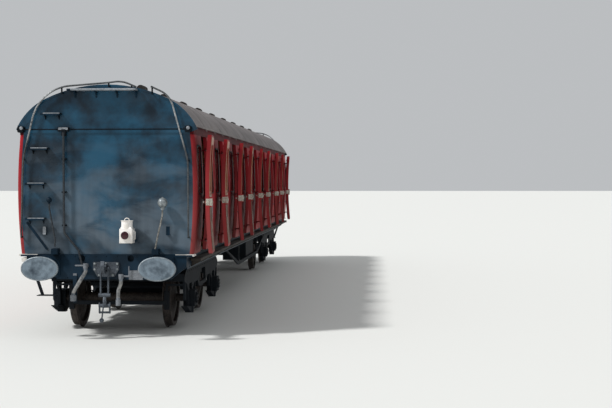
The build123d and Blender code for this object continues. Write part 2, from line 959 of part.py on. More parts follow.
# Columns of the lower step's straps: left edge at the top, top, left edge at the tread
lower_hangers = ((-1120, 1000, -1000), (-817, 908, -817))
with BuildPart() as end_steps:
    for middle, height in end_steps_table:
        with Locations((middle, -half_length - tread_depth / 2, height)):
            Box(tread_width, tread_depth, tread_thickness)
        for way in (-1, 1):
            bracket_x = middle + way * tread_width * tread_bracket_spacing / 2
            with BuildSketch(Plane.YZ.offset(bracket_x)):
                with BuildLine():
                    Polyline(
                        (-half_length - tread_depth * 0.8, height - tread_bracket * 0.25),
                        (-half_length - tread_depth, height),
                        (-half_length, height),
                        (-half_length, height - tread_bracket),
                    )
                    ThreePointArc(
                        (-half_length, height - tread_bracket),
                        (-half_length - tread_depth * 0.35, height - tread_bracket * 0.5),
                        (-half_length - tread_depth * 0.8, height - tread_bracket * 0.25),
                    )
                make_face()
            extrude(amount=tread_bracket_width / 2, both=True)
    # Lower step below the headstock: two straps from its face, and a tread
    with BuildSketch(in_front(headstock_depth / 2)):
        for top_x, top_z, foot_x in lower_hangers:
            with BuildLine():
                Polyline(
                    (top_x, top_z),
                    (top_x + strap_width, top_z),
                    (foot_x + strap_width, lower_step_height),
                    (foot_x, lower_step_height),
                    close=True,
                )
            make_face()
    extrude(amount=tread_bracket_width)
    with Locations((lower_step_x, -headstock_face - tread_depth / 2, lower_step_height)):
        Box(tread_width, tread_depth, tread_thickness)
write_with_far_copy(end_steps.part, "end_steps")

# Handrails up the end and over the roof. Columns: across the coach, height
left_rail_route = ((-1298, 1522), (-1262, 2700), (-1009, 3765), (60, 3846), (250, 3872), (468, 3778))
right_rail_route = ((1250, 1522), (1247, 2680), (977, 3649), (690, 3785))
left_rail_bends = (900, 640, 300, 420)
right_rail_bends = (700, 340)
roof_clips = ((-664, 3780), (52, 3845), (400, 3807), (710, 3775))
with BuildPart() as end_rails:
    for route, bends in ((left_rail_route, left_rail_bends), (right_rail_route, right_rail_bends)):
        add(bent_rod([(x, -half_length - rail_standoff, z) for x, z in route], rail_radius, bends))
        for x, z in route[:2]:
            with BuildSketch(across(-half_length)):
                with Locations((x, z)):
                    Circle(rail_radius)
            extrude(amount=rail_standoff)
    for x, z in roof_clips:
        clip_foot = roof_height(x) - roof_thickness
        with Locations((x, -half_length - rail_standoff, (z + clip_foot) / 2)):
            Box(clip_width, clip_thickness, z - clip_foot)
        with Locations((x, -half_length - rail_standoff / 2, clip_foot)):
            Box(clip_width, rail_standoff, clip_thickness)
write_with_far_copy(end_rails.part, "end_handrails")

# Footboard at the roof's edge
with BuildPart() as roof_board:
    with Locations((roof_board_x, -half_length - roof_board_depth / 2, roof_board_height)):
        Box(roof_board_length, roof_board_depth, roof_board_thickness)
    for x in roof_bracket_xs:
        with BuildSketch(Plane.YZ.offset(x)):
            with BuildLine():
                low, reach = roof_board_height - roof_bracket_drop, roof_board_depth * 0.85
                Polyline((-half_length - reach, roof_board_height), (-half_length, roof_board_height), (-half_length, low))
                ThreePointArc(
                    (-half_length, low),
                    (-half_length - reach * 0.35, roof_board_height - roof_bracket_drop * 0.5),
                    (-half_length - reach, roof_board_height),
                )
            make_face()
        extrude(amount=roof_bracket_width / 2, both=True)
write_with_far_copy(roof_board.part, "roof_footboards")

# Alarm rod across the end, its corner indicators, its valve and the pipe down to the headstock.
# The pipe's columns: across the coach, height
pipe_route = ((-640, 3100), (-636, 1590), (-416, 1325), (-365, 1110))
pipe_bends = (120, 90)
rod_y = -half_length - alarm_standoff
with BuildPart() as alarm_gear:
    add(straight_rod((alarm_rod_left, rod_y, alarm_height), (alarm_rod_right, rod_y, alarm_height), alarm_rod_radius))
    for x in (alarm_rod_left, alarm_rod_right):
        with BuildSketch(across(-half_length)):
            with Locations((x, alarm_height)):
                RectangleRounded(indicator_width, indicator_width, indicator_width / 5)
        extrude(amount=indicator_depth)
        with BuildSketch(in_front(indicator_depth)):
            with Locations((x, alarm_height)):
                Circle(indicator_disc)
        extrude(amount=rail_radius)
    with Locations((valve_x, -half_length - indicator_depth / 2, alarm_height)):
        Box(valve_width, indicator_depth, valve_height)
    with Locations((pipe_route[0][0], -half_length - pipe_plane / 2, alarm_height - valve_drop / 2)):
        Box(valve_height, pipe_plane, valve_drop)
    add(bent_rod([(x, -half_length - pipe_plane, z) for x, z in pipe_route], pipe_radius, pipe_bends))
    for height in (2700, 2200, 1700):
        with Locations((pipe_route[0][0], -half_length - pipe_plane / 2, height)):
            Box(4 * pipe_radius, pipe_plane, clip_width)
write(alarm_gear.part, "alarm_gear")

# Tail lamp: body, shoulder, chimney with its cap, wire loop, lens and the iron it hangs on
lamp_y = -half_length - lamp_standoff - lamp_depth / 2
lamp_face = lamp_y - lamp_depth / 2
lamp_top = lamp_foot + lamp_height
with BuildPart() as tail_lamp:
    with BuildSketch(Plane.XY.offset(lamp_foot)):
        with Locations((lamp_x, lamp_y)):
            RectangleRounded(lamp_width, lamp_depth, lamp_corner)
    extrude(amount=lamp_height)
    with BuildSketch(Plane.XY.offset(lamp_top)):
        with Locations((lamp_x, lamp_y)):
            Rectangle(lamp_width - 2 * lamp_corner, lamp_depth - lamp_corner)
    extrude(amount=shoulder_height, taper=16)
    with BuildSketch(Plane.XY.offset(lamp_top)):
        with Locations((lamp_x, lamp_y)):
            Circle(chimney_radius)
    extrude(amount=shoulder_height + chimney_height)
    chimney_top = lamp_top + shoulder_height + chimney_height
    with BuildSketch(Plane.XY.offset(chimney_top - chimney_cap)):
        with Locations((lamp_x, lamp_y)):
            Circle(chimney_radius + chimney_cap)
    extrude(amount=chimney_cap)
    with BuildLine(across(lamp_y)) as loop_path:
        CenterArc((lamp_x, chimney_top), loop_radius, 0, 180)
    with BuildSketch(Plane(origin=loop_path.line @ 0, z_dir=loop_path.line % 0)):
        Circle(wire_radius)
    sweep()
    with BuildSketch(across(lamp_face)):
        with Locations((lens_x, lens_height)):
            Circle(bezel_radius)
    extrude(amount=bezel_depth)
    with BuildSketch(Plane.XY.offset(lens_height)):
        with BuildLine():
            lens_y = lamp_face - bezel_depth
            Polyline((lens_x + lens_radius, lens_y), (lens_x, lens_y), (lens_x, lens_y - lens_radius / 4))
            ThreePointArc(
                (lens_x, lens_y - lens_radius / 4),
                (lens_x + lens_radius * 0.6, lens_y - lens_radius * 0.17),
                (lens_x + lens_radius, lens_y),
            )
        make_face()
    revolve(axis=Axis((lens_x, 0, lens_height), (0, 1, 0)))
    with Locations((lamp_x, -half_length - lamp_standoff / 2, lamp_foot + lamp_height / 3)):
        Box(iron_width, lamp_standoff, iron_height)
write(tail_lamp.part, "tail_lamp")

# Small fittings of the end: lamp iron, strut, two rods with round knobs and their boxes.
# Rod columns: knob's place, knob's radius, foot's place, both across the coach and height
knob_rods = (
    ((-850, 2084), 42, (-850, 1960), (-762, 1483), (-771, 1380)),
    ((872, 2041), 74, (866, 1850), (800, 1560), (757, 1350)),
)
strut_ends = ((-1227, 1749), (-911, 1331))
iron_places = ((-941, 1620), (941, 1620))
with BuildPart() as end_fittings:
    for x, z in iron_places:
        with Locations((x, -half_length - iron_standoff, z)):
            Box(iron_width, iron_thickness, iron_height)
        with Locations((x, -half_length - iron_standoff / 2, z - iron_height / 2 + iron_thickness / 2)):
            Box(iron_width, iron_standoff, iron_thickness)
    with BuildSketch(across(-half_length)):
        strut_run = Vector(*strut_ends[1]) - Vector(*strut_ends[0])
        strut_middle = (Vector(*strut_ends[1]) + Vector(*strut_ends[0])) / 2
        with Locations((strut_middle.X, strut_middle.Y)):
            SlotOverall(strut_run.length, strut_width, rotation=degrees(atan2(strut_run.Y, strut_run.X)))
    extrude(amount=strut_thickness)
    for (knob_x, knob_z), knob_radius, shoulder, elbow, foot in knob_rods:
        rod_points = [(x, -half_length - rod_standoff, z) for x, z in ((knob_x, knob_z), shoulder, elbow, foot)]
        add(bent_rod(rod_points, rod_radius, 220))
        with Locations((knob_x, -half_length - rod_standoff, knob_z)):
            Sphere(knob_radius)
        with Locations((foot[0], -half_length - rod_standoff / 2 - rod_radius, body_bottom + rod_box_height / 2)):
            Box(rod_box, rod_standoff + 2 * rod_radius, rod_box_height)
write_with_far_copy(end_fittings.part, "end_fittings")

# Grab handles on the sides, beside each door's lock edge
grab_low, grab_high = sill_height - 420, sill_height - 120
grab_reach = 45
with BuildPart() as grab_handles:
    for centre in door_centres:
        y = centre + door_width / 2 + 50
        bar_x = side_x((grab_low + grab_high) / 2) + grab_reach
        add(straight_rod((bar_x, y, grab_low), (bar_x, y, grab_high), rail_radius))
        for height in (grab_low + rail_radius, grab_high - rail_radius):
            add(straight_rod((side_x(height) + 1, y, height), (bar_x, y, height), rail_radius))
write_with_far_copy(grab_handles.part, "grab_handles")

# Hoses and their pipes at each end. Columns of a hose: across the coach, height
vacuum_hose = ((-290, 1060), (-290, 975), (-478, 745), (-478, 655))
steam_hose = ((246, 900), (246, 835), (204, 725), (204, 590))
hose_bends = (110, 110)
with BuildPart() as hoses:
    for route in (vacuum_hose, steam_hose):
        add(bent_rod([(x, -headstock_face - hose_plane, z) for x, z in route], hose_radius, hose_bends))
write_with_far_copy(hoses.part, "hoses")

with BuildPart() as brake_pipes:
    # Vacuum pipe: an elbow out of the headstock, and the hose's parked end on its stop
    hose_y = -headstock_face - hose_plane
    (top_x, top_z), (foot_x, foot_z) = vacuum_hose[0], vacuum_hose[-1]
    elbow_height = top_z + cock_radius
    elbow_end = (top_x, hose_y, elbow_height)
    add(straight_rod((top_x, -headstock_face, elbow_height), elbow_end, pipe_stub_radius))
    with Locations(elbow_end):
        Cylinder(cock_radius, 2 * cock_radius)
    handle_y = -headstock_face - hose_plane / 2
    add(straight_rod((top_x, handle_y, elbow_height), (parked_handle_x, handle_y, elbow_height), rail_radius))
    head_middle = foot_z - coupling_head_radius
    with Locations((foot_x, hose_y, head_middle)):
        Cylinder(coupling_head_radius, 2 * coupling_head_radius)
    with Locations((foot_x, -headstock_face - hose_plane / 2, head_middle)):
        Box(iron_width, hose_plane, iron_width)
    strap_top = body_bottom - headstock_height + 2 * coupling_head_radius
    strap_height = strap_top - head_middle + iron_width / 2
    with Locations((foot_x, -headstock_face - steel / 2, strap_top - strap_height / 2)):
        Box(iron_width, steel, strap_height)
    # Steam pipe: an elbow, its cock with a bent lever, and the hose's end piece
    (top_x, top_z), (foot_x, foot_z) = steam_hose[0], steam_hose[-1]
    elbow_height = top_z + cock_radius
    elbow_end = (top_x, hose_y, elbow_height)
    add(straight_rod((top_x, -headstock_face, elbow_height), elbow_end, pipe_stub_radius))
    with Locations(elbow_end):
        Cylinder(cock_radius, 2 * cock_radius)
    lever_y = -headstock_face - cock_radius
    add(straight_rod((top_x, lever_y, elbow_height), (cock_lever_x, lever_y, elbow_height), rail_radius))
    with Locations((cock_lever_x, lever_y, elbow_height + cock_lever / 2 - rail_radius)):
        Box(rail_radius, rail_radius, cock_lever)
    with Locations((foot_x, hose_y, foot_z - coupling_head_radius)):
        Cylinder(cock_radius, 2 * coupling_head_radius)
    # Blank plate on the headstock
    with Locations((side_plate_x, -headstock_face - side_plate_thickness / 2, side_plate_foot + side_plate_height / 2)):
        Box(side_plate_width, side_plate_thickness, side_plate_height)
write_with_far_copy(brake_pipes.part, "brake_pipes")

# Wheelset: two wheels and their axle in one turned piece.
# Outline columns: along the axle from the middle, out from its line
wheel_back = back_to_back / 2
tread_out = wheel_back + wheel_width
rim_radius = tread_radius - rim_thickness
wheel_outline = (
    (0, 0),
    (0, axle_radius),
    (wheel_back - hub_overhang, axle_radius),
    (wheel_back - hub_overhang, hub_radius),
    (wheel_back + web_inset, rim_radius),
    (wheel_back, rim_radius),
    (wheel_back, tread_radius + flange_height / 2),
    (wheel_back + flange_thickness / 3, tread_radius + flange_height),
    (wheel_back + flange_thickness * 2 / 3, tread_radius + flange_height),
    (wheel_back + flange_thickness, tread_radius + tread_cone),
    (tread_out, tread_radius - tread_cone),
    (tread_out, rim_radius),
    (wheel_back + web_inset + web_thickness, rim_radius),
    (tread_out + hub_overhang, hub_radius),
    (tread_out + hub_overhang, journal_radius),
    (journal_end, journal_radius),
    (journal_end, 0),
)
with BuildPart() as wheelset:
    with BuildSketch(Plane.XZ):
        with BuildLine():
            Polyline(*wheel_outline, close=True)
        make_face()
    revolve(axis=Axis.X)
    mirror(about=Plane.YZ)

# Bogie frame side plate. Columns of its right half: along the bogie, height, corner radius
horn = horn_foot + box_height / 2
half_box = box_width / 2
slot_top = frame_top - frame_depth
plate_half = (
    (frame_end - 150, frame_top, 60),
    (frame_end, frame_top - 80, 30),
    (frame_end, frame_top - 160, 30),
    (axle_place + 340, frame_top - 215, 90),
    (axle_place + 225, frame_top - 350, 60),
    (axle_place + 205, horn_foot, 20),
    (axle_place + half_box, horn_foot, 8),
    (axle_place + half_box, slot_top, 8),
    (axle_place - half_box, slot_top, 8),
    (axle_place - half_box, horn_foot, 8),
    (axle_place - 205, horn_foot, 20),
    (axle_place - 225, frame_top - 350, 60),
    (axle_place - 380, frame_top - 250, 90),
    (520, frame_top - 250, 90),
    (410, plank_foot + plank_height / 2, 60),
)
plate_outline = plate_half + tuple((-y, z, radius) for y, z, radius in reversed(plate_half))
with BuildPart() as bogie_frame:
    for side in (-1, 1):
        with BuildSketch(Plane.YZ.offset(side * frame_face)):
            with BuildLine():
                FilletPolyline(
                    *[(y, z) for y, z, radius in plate_outline],
                    radius=[radius for y, z, radius in plate_outline],
                    close=True,
                )
            make_face()
            with Locations((0, (window_top + window_foot) / 2)):
                RectangleRounded(2 * window_half_length, window_top - window_foot, window_corner, mode=Mode.SUBTRACT)
        extrude(amount=-side * frame_plate)
        with Locations((side * (frame_face - frame_lip / 2), 0, frame_top + steel / 2)):
            Box(frame_lip, 2 * (frame_end - 200), steel)
        for way in (-1, 1):
            for shift in (-1, 1):
                link_y = way * axle_place + shift * (spring_span / 2 - spring_link / 2)
                with Locations((side * (frame_face - frame_plate / 2), link_y, (slot_top + horn) / 2 + 20)):
                    Box(frame_plate, spring_link, slot_top - horn + 60)
    for way in (-1, 1):
        with Locations((0, way * transom_place, frame_top - transom_height / 2)):
            Box(2 * frame_face - frame_plate, 4 * steel, transom_height)
        with Locations((0, way * (frame_end - end_beam / 2), frame_top - end_beam_height / 2 - 40)):
            Box(2 * frame_face - frame_plate, end_beam, end_beam_height)
    with Locations((0, 0, plank_foot + plank_height / 2)):
        Box(2 * frame_face - frame_plate, bolster_width, plank_height)
    bolster_face = bolster_top - bearer_height
    with Locations((0, 0, bolster_face - bolster_height / 2)):
        Box(2 * (frame_face - frame_plate), bolster_width, bolster_height)
    with Locations((0, 0, bolster_top - bearer_height / 2)):
        Cylinder(pivot_radius, bearer_height)
    for side in (-1, 1):
        for shift in (-1, 1):
            coil_height = bolster_face - bolster_height - plank_foot - plank_height
            coil_x = side * (frame_face - frame_plate - coil_radius * 1.6)
            coil_middle = plank_foot + plank_height + coil_height / 2
            with Locations((coil_x, shift * coil_spacing / 2, coil_middle)):
                Cylinder(coil_radius, coil_height)

# Axleboxes with their leaf springs below
spring_radius = (spring_span**2 / 4 + spring_camber**2) / (2 * spring_camber)
box_foot = axle_height - box_height / 2
with BuildPart() as axleboxes:
    for side in (-1, 1):
        for way in (-1, 1):
            box_x = side * (frame_face - box_inset)
            with Locations((box_x, way * axle_place, axle_height)):
                Box(box_depth, box_width, box_height)
            with BuildSketch(Plane.YZ.offset(box_x + side * box_depth / 2)):
                with Locations((way * axle_place, axle_height)):
                    Circle(cover_radius)
            extrude(amount=side * cover_thickness)
            with BuildSketch(Plane.YZ.offset(side * (frame_face - spring_inset))):
                for leaf in range(spring_leaves):
                    half_angle = degrees(spring_span / 2 / spring_radius) * (1 - leaf / (spring_leaves + 1))
                    centre = (way * axle_place, box_foot + spring_radius)
                    upper = spring_radius + leaf * spring_leaf
                    with BuildLine():
                        top = CenterArc(centre, upper, 270 - half_angle, 2 * half_angle)
                        low = CenterArc(centre, upper + spring_leaf, 270 - half_angle, 2 * half_angle)
                        Line(top @ 0, low @ 0)
                        Line(top @ 1, low @ 1)
                    make_face()
            extrude(amount=spring_width / 2, both=True)
            with Locations((side * (frame_face - spring_inset), way * axle_place, box_foot - spring_leaves * spring_leaf / 2)):
                Box(spring_width + 2 * steel, buckle_width, spring_leaves * spring_leaf + 2 * steel)
    with BuildSketch(Plane.YZ):
        with Locations((-axle_place, axle_height), (axle_place, axle_height)):
            Circle(journal_radius + bearing_gap)
    extrude(amount=journal_end + box_inset, both=True, mode=Mode.SUBTRACT)

# Brake gear: curved blocks at both faces of each wheel, their hangers and beams
block_inner = tread_radius + brake_gap
block_x = wheel_back + block_place
hanger_reach = frame_face - frame_plate - block_x
with BuildPart() as brake_gear:
    for way in (-1, 1):
        for face in (-1, 1):
            start = -block_angle / 2 if face > 0 else 180 - block_angle / 2
            place = way * axle_place + face * (block_inner + block_thickness / 2)
            for side in (-1, 1):
                with BuildSketch(Plane.YZ.offset(side * block_x)):
                    with BuildLine():
                        centre = (way * axle_place, axle_height)
                        near = CenterArc(centre, block_inner, start, block_angle)
                        far = CenterArc(centre, block_inner + block_thickness, start, block_angle)
                        Line(near @ 0, far @ 0)
                        Line(near @ 1, far @ 1)
                    make_face()
                extrude(amount=block_width / 2, both=True)
                with Locations((side * block_x, place, axle_height + hanger_length / 2)):
                    Box(hanger, hanger, hanger_length)
                with Locations((side * (block_x + hanger_reach / 2), place, axle_height + hanger_length - hanger / 2)):
                    Box(hanger_reach, hanger, hanger)
            with Locations((0, place + face * hanger / 2, axle_height - brake_beam_drop)):
                Box(2 * block_x, hanger, 2 * hanger)

for number, place in enumerate(bogie_places, start=1):
    spot = Location((0, place, 0))
    write(bogie_frame.part.moved(spot), f"bogie_frame_{number}")
    write(axleboxes.part.moved(spot), f"axleboxes_springs_{number}")
    write(brake_gear.part.moved(spot), f"brake_gear_{number}")
    for axle, way in ((1, -1), (2, 1)):
        axle_spot = Location((0, place + way * axle_place, axle_height))
        write(wheelset.part.moved(axle_spot), f"wheelset_{2 * number - 2 + axle}")
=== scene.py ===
"""Dresses a compartment railway coach: paint, glazing, door trim, seats, rivets, springs and hoses."""
import json
import math
from functools import partial

import bmesh
import bpy
from bpy.props import FloatProperty, FloatVectorProperty, IntProperty, PointerProperty
from mathutils import Matrix, Vector


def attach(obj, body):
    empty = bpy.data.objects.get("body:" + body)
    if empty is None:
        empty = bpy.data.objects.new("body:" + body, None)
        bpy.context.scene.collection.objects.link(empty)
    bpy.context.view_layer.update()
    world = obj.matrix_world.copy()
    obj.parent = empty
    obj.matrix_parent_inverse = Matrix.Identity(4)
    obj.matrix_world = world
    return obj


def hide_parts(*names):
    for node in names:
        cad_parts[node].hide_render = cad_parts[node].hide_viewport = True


bl_info = {
    "name": "Compartment Coach",
    "version": (1, 0, 0),
    "blender": (4, 5, 0),
    "location": "View3D > Sidebar > Coach",
    "description": "Paints and furnishes a compartment coach on two bogies",
    "category": "Object",
}

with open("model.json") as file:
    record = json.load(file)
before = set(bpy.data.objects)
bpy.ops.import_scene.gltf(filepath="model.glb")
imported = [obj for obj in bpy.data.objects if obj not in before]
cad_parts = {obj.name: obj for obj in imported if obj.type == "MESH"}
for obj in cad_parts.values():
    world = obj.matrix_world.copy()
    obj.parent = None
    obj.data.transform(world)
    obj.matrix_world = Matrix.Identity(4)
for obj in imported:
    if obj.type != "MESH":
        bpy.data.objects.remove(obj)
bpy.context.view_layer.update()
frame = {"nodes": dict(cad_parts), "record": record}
JOINTS = {joint["name"]: joint for joint in frame["record"]["behaviour"]["joints"]}
SLOTS = {part["node"]: part["material_slot"] for part in frame["record"]["subparts"]}
MATERIALS = {}

# The coach's own frame, in metres, as its construction gives it
HALF_LENGTH = 8.705
HALF_WIDTH = 1.372
WAIST_HEIGHT = 2.222
SIDE_RADIUS = 8.670
WALL = 0.060
BODY_FOOT = 1.265
COMPARTMENTS = 9
PITCH = 2 * HALF_LENGTH / COMPARTMENTS
DOOR_CENTRES = [PITCH * (n + 0.5) - HALF_LENGTH for n in range(COMPARTMENTS)]
PARTITIONS = [PITCH * n - HALF_LENGTH for n in range(1, COMPARTMENTS)]
ENDS = (Matrix(), Matrix.Rotation(math.pi, 4, "Z"))
UPWARDS = Vector((0, 0, 1))
# Roof arches: radius, how far the centre stands aside, its height; spans in degrees from upright
CROWN_ARCH = (2.168, 0.0, 1.654)
SHOULDER_ARCH = (0.938, 0.5276, 2.7651)
CROWN_SPAN = 25.4
ROOF_SPAN = 66.0
CORNER_SPAN = 38.0
# From a door's middle: the next fixed window, half the door's lining, half its window frame
QUARTERLIGHT_PLACE = 0.6
LINING_HALF = 0.285
FRAME_HALF = 0.222
# Lock of a door, drawn on the right side: from the door's middle, height
DOOR_LOCK = (0.25, 2.05)
# Benches: half their length, where the seat and the back end across a compartment, heights
BENCH_HALF = 1.24
SEAT_REACH = 0.52
BACK_REACH = 0.115
BENCH_HEIGHTS = (1.617, 1.765, 2.66)
# Bogies, axles and the faces that carry rivets and nuts
BOGIE_PLACES = (-6.096, 6.096)
AXLE_PLACE = 1.2955
AXLE_HEIGHT = 0.485
TRUSS_PLACE = 0.795
BOGIE_FACE = 1.06
AXLEBOX_FACE = 1.172
SOLEBAR_FACE = 1.215
HEADSTOCK_FACE = HALF_LENGTH + 0.045
# Buffers: middle, half width and half height of the head, face
BUFFER_PLACE = (0.870, 1.082)
BUFFER_HALVES = (0.278, 0.178)
BUFFER_FACE = -9.285
# End steps: middle of each tread across the coach, its height
TREADS = ((-0.824, 3.384), (-1.015, 2.864), (-1.069, 2.336), (-1.068, 1.808))
# Nuts of the drawhook's plate: across the coach, height
HOOK_PLATE_NUTS = (
    (-0.172, 1.124),
    (0.0, 1.132),
    (0.172, 1.124),
    (-0.172, 1.04),
    (0.172, 1.04),
    (-0.105, 0.952),
    (0.105, 0.952),
)
# How far the middles of rails, knob-topped rods, alarm pipe and hoses stand in front of the end wall
RAIL_DEPTH = 0.060
ROD_DEPTH = 0.110
PIPE_DEPTH = 0.072
HOSE_DEPTH = 0.155
# Runs on the end. Columns of a point: across the coach, height, radius of the bend there
LEFT_RAIL = (
    (-1.298, 1.522, 0.0),
    (-1.262, 2.700, 0.9),
    (-1.009, 3.765, 0.64),
    (0.060, 3.846, 0.3),
    (0.250, 3.872, 0.42),
    (0.468, 3.778, 0.0),
)
RIGHT_RAIL = ((1.250, 1.522, 0.0), (1.247, 2.680, 0.7), (0.977, 3.649, 0.34), (0.690, 3.785, 0.0))
LEFT_ROD = ((-0.850, 2.084, 0.0), (-0.850, 1.960, 0.22), (-0.762, 1.483, 0.22), (-0.771, 1.380, 0.0))
RIGHT_ROD = ((0.872, 2.041, 0.0), (0.866, 1.850, 0.22), (0.800, 1.560, 0.22), (0.757, 1.350, 0.0))
ALARM_PIPE = ((-0.640, 3.100, 0.0), (-0.636, 1.590, 0.12), (-0.416, 1.325, 0.09), (-0.365, 1.110, 0.0))
VACUUM_HOSE = ((-0.290, 1.060, 0.0), (-0.286, 1.010, 0.09), (-0.474, 0.705, 0.09), (-0.478, 0.655, 0.0))
STEAM_HOSE = ((0.246, 0.900, 0.0), (0.246, 0.835, 0.11), (0.204, 0.725, 0.11), (0.204, 0.590, 0.0))
LAMP_HANDLE = ((0.438, 1.62, 0.0), (0.464, 1.61, 0.014), (0.464, 1.50, 0.014), (0.438, 1.49, 0.0))
# Sections over the roof: lift off it, place along the coach. A sheet's band, the painted edge and corner
BAND_SECTION = ((-0.003, -0.014), (0.005, -0.010), (0.005, 0.010), (-0.003, 0.014))
EDGE_SECTION = ((-0.031, -0.001), (-0.031, -0.004), (0.001, -0.004), (0.001, 0.012))
CORNER_SECTION = ((-0.112, -0.0005), (-0.112, -0.0022), (-0.028, -0.0022), (-0.028, -0.0005))
# Section of a buffer's rim: reach beyond the head's edge, depth behind its face
RIM_SECTION = (
    (0.0006, 0.018),
    (0.0006, 0.006),
    (-0.003, 0.002),
    (-0.009, -0.0001),
    (-0.016, -0.0001),
    (-0.016, 0.006),
)
# Outline of a pressed brake truss: across the coach, height
TRUSS_OUTLINE = ((-0.645, 0.470), (0.645, 0.470), (0.645, 0.500), (0.600, 0.585), (-0.600, 0.585), (-0.645, 0.500))
# Camera at the photo's view: place, turns in degrees, in order, and length of its lens
CAMERA_PLACE = (4.07, -26.032, 2.373)
CAMERA_TURNS = (("Z", 3.49), ("X", -1.154), ("Y", 0.029), ("X", 90.0))
CAMERA_LENS = 68.38
KEY_DIRECTION = (-1.0, -0.55, 1.2)
# Nodes whose finish is finer than their slot's
OWN_FINISHES = {
    "buffer_heads": "buffer_steel",
    "underframe": "headstock_paint",
    "buffer_cases": "headstock_paint",
    "draw_gear": "coupling_steel",
    "brake_pipes": "pipe_steel",
    "roof_footboards": "headstock_paint",
    "roof_vents": "vent_paint",
    "cantrails": "cantrail_paint",
    "end_fittings": "headstock_paint",
}
# Kind of a Map Range node that eases in and out
SOFT = {"interpolation_type": "SMOOTHSTEP"}


# Colours and nodes


def linear(code):
    """Turn an sRGB hex colour into the linear colour that the nodes want."""
    channels = [int(code[place : place + 2], 16) / 255 for place in (1, 3, 5)]
    return [c / 12.92 if c <= 0.04045 else ((c + 0.055) / 1.055) ** 2.4 for c in channels] + [1.0]


def add_node(tree, kind, inputs=(), out=0, **settings):
    """Add a node with its settings and give one of its outputs.

    Its inputs come in order or by name; another node's output is linked, and a hex colour made linear.
    """
    node = tree.nodes.new(kind)
    for key, value in settings.items():
        setattr(node, key, value)
    for key, value in inputs.items() if isinstance(inputs, dict) else enumerate(inputs):
        if isinstance(value, bpy.types.NodeSocket):
            tree.links.new(value, node.inputs[key])
        else:
            coded = isinstance(value, str) and value.startswith("#")
            node.inputs[key].default_value = linear(value) if coded else value
    return node.outputs[out] if node.outputs else None


def new_material(name):
    """Start a material with its own call that adds a node, and the place on its object."""
    material = bpy.data.materials.new(name)
    material.use_nodes = True
    material.node_tree.nodes.clear()
    add = partial(add_node, material.node_tree)
    return material, add, add("ShaderNodeTexCoord", out="Object")


def end_material(material, *looks):
    """Give a material its one shader with these looks."""
    inputs = {key: value for look in looks for key, value in look.items()}
    shader = add_node(material.node_tree, "ShaderNodeBsdfPrincipled", inputs)
    add_node(material.node_tree, "ShaderNodeOutputMaterial", {"Surface": shader})
    return material


def soft_patches(add, place, noise, limits):
    """Noise in soft patches: its limits are two levels of it and the values that they become."""
    level = add("ShaderNodeTexNoise", dict(noise, Vector=place), "Fac")
    return add("ShaderNodeMapRange", (level, *limits), **SOFT)


def coat(add, amount, colours, rough, full=1.0):
    """Colour and roughness that run together from first to last as an amount grows."""
    mixed = {0: amount, 6: colours[0], 7: colours[1]}
    return {
        "Base Color": add("ShaderNodeMix", mixed, 2, data_type="RGBA"),
        "Roughness": add("ShaderNodeMapRange", (amount, 0.0, full, *rough), **SOFT),
    }


def enamel(
    name, paint, shade, dust, gloss, cover, dusty, patch, wave=0.0, level=0.5, thin=0.55, slant=0.0, shift=0.0
):
    """Enamel on steel: shaded patches, dust that thickens downwards in wiped streaks, soft dents.

    cover is how much the dust covers, dusty the heights between which it thickens, patch and wave the
    size of patches and depth of dents. thin is the share of the dust left between its clouds, slant turns
    the clouds, in degrees, and shift chooses which part of the pattern lies on the sheet.
    """
    material, add, place = new_material(name)
    moved = add("ShaderNodeMapping", {"Vector": place, "Location": (shift, 0.0, 0.7 * shift)})
    shaded = {"Scale": 1 / patch, "Detail": 5.0, "Roughness": 0.55}
    patches = soft_patches(add, moved, shaded, (0.35, 0.65, 0.0, 1.0))
    tone = add("ShaderNodeMix", {0: patches, 6: paint, 7: shade}, 2, data_type="RGBA")
    # Rain and wiping leave streaks 20 to 100 mm wide that run down the sheet
    down = add("ShaderNodeMapping", {"Vector": place, "Scale": (9.0, 9.0, 0.5)})
    wiped = {"Scale": 1.0, "Detail": 5.0, "Roughness": 0.6, "Distortion": 0.5}
    streaks = soft_patches(add, down, wiped, (0.25, 0.75, 0.7, 1.0))
    # Slanted clouds, as on the end sheets, are dust and also painted diagonal light and shadow
    slanted = {"Rotation": (0.0, math.radians(slant), 0.0), "Scale": (1.0, 1.0, 2.4 if slant else 1.0)}
    turned = add("ShaderNodeMapping", dict(slanted, Vector=moved))
    broad = {"Scale": 0.6 / patch, "Detail": 4.0, "Roughness": 0.5, "Distortion": 0.6}
    clouds = soft_patches(add, turned, broad, (0.38, 0.6, thin, 1.0))
    height = add("ShaderNodeSeparateXYZ", {"Vector": place}, "Z")
    amount = add("ShaderNodeMapRange", (height, *dusty, 0.1, 1.0), **SOFT)
    for share in (streaks, clouds, cover):
        amount = add("ShaderNodeMath", (amount, share), operation="MULTIPLY")
    dents = add("ShaderNodeTexNoise", {"Vector": place, "Scale": 1.7, "Detail": 1.5}, "Fac")
    grain = add("ShaderNodeTexNoise", {"Vector": place, "Scale": 160.0, "Detail": 3.0}, "Fac")
    dented = add("ShaderNodeBump", {"Strength": 1.0, "Distance": wave, "Height": dents})
    fine = {"Strength": 0.25, "Distance": 0.0008, "Height": grain, "Normal": dented}
    looks = {"IOR": 1.5, "Specular IOR Level": level, "Normal": add("ShaderNodeBump", fine)}
    return end_material(material, looks, coat(add, amount, (tone, dust), (gloss, 0.8), 0.8))


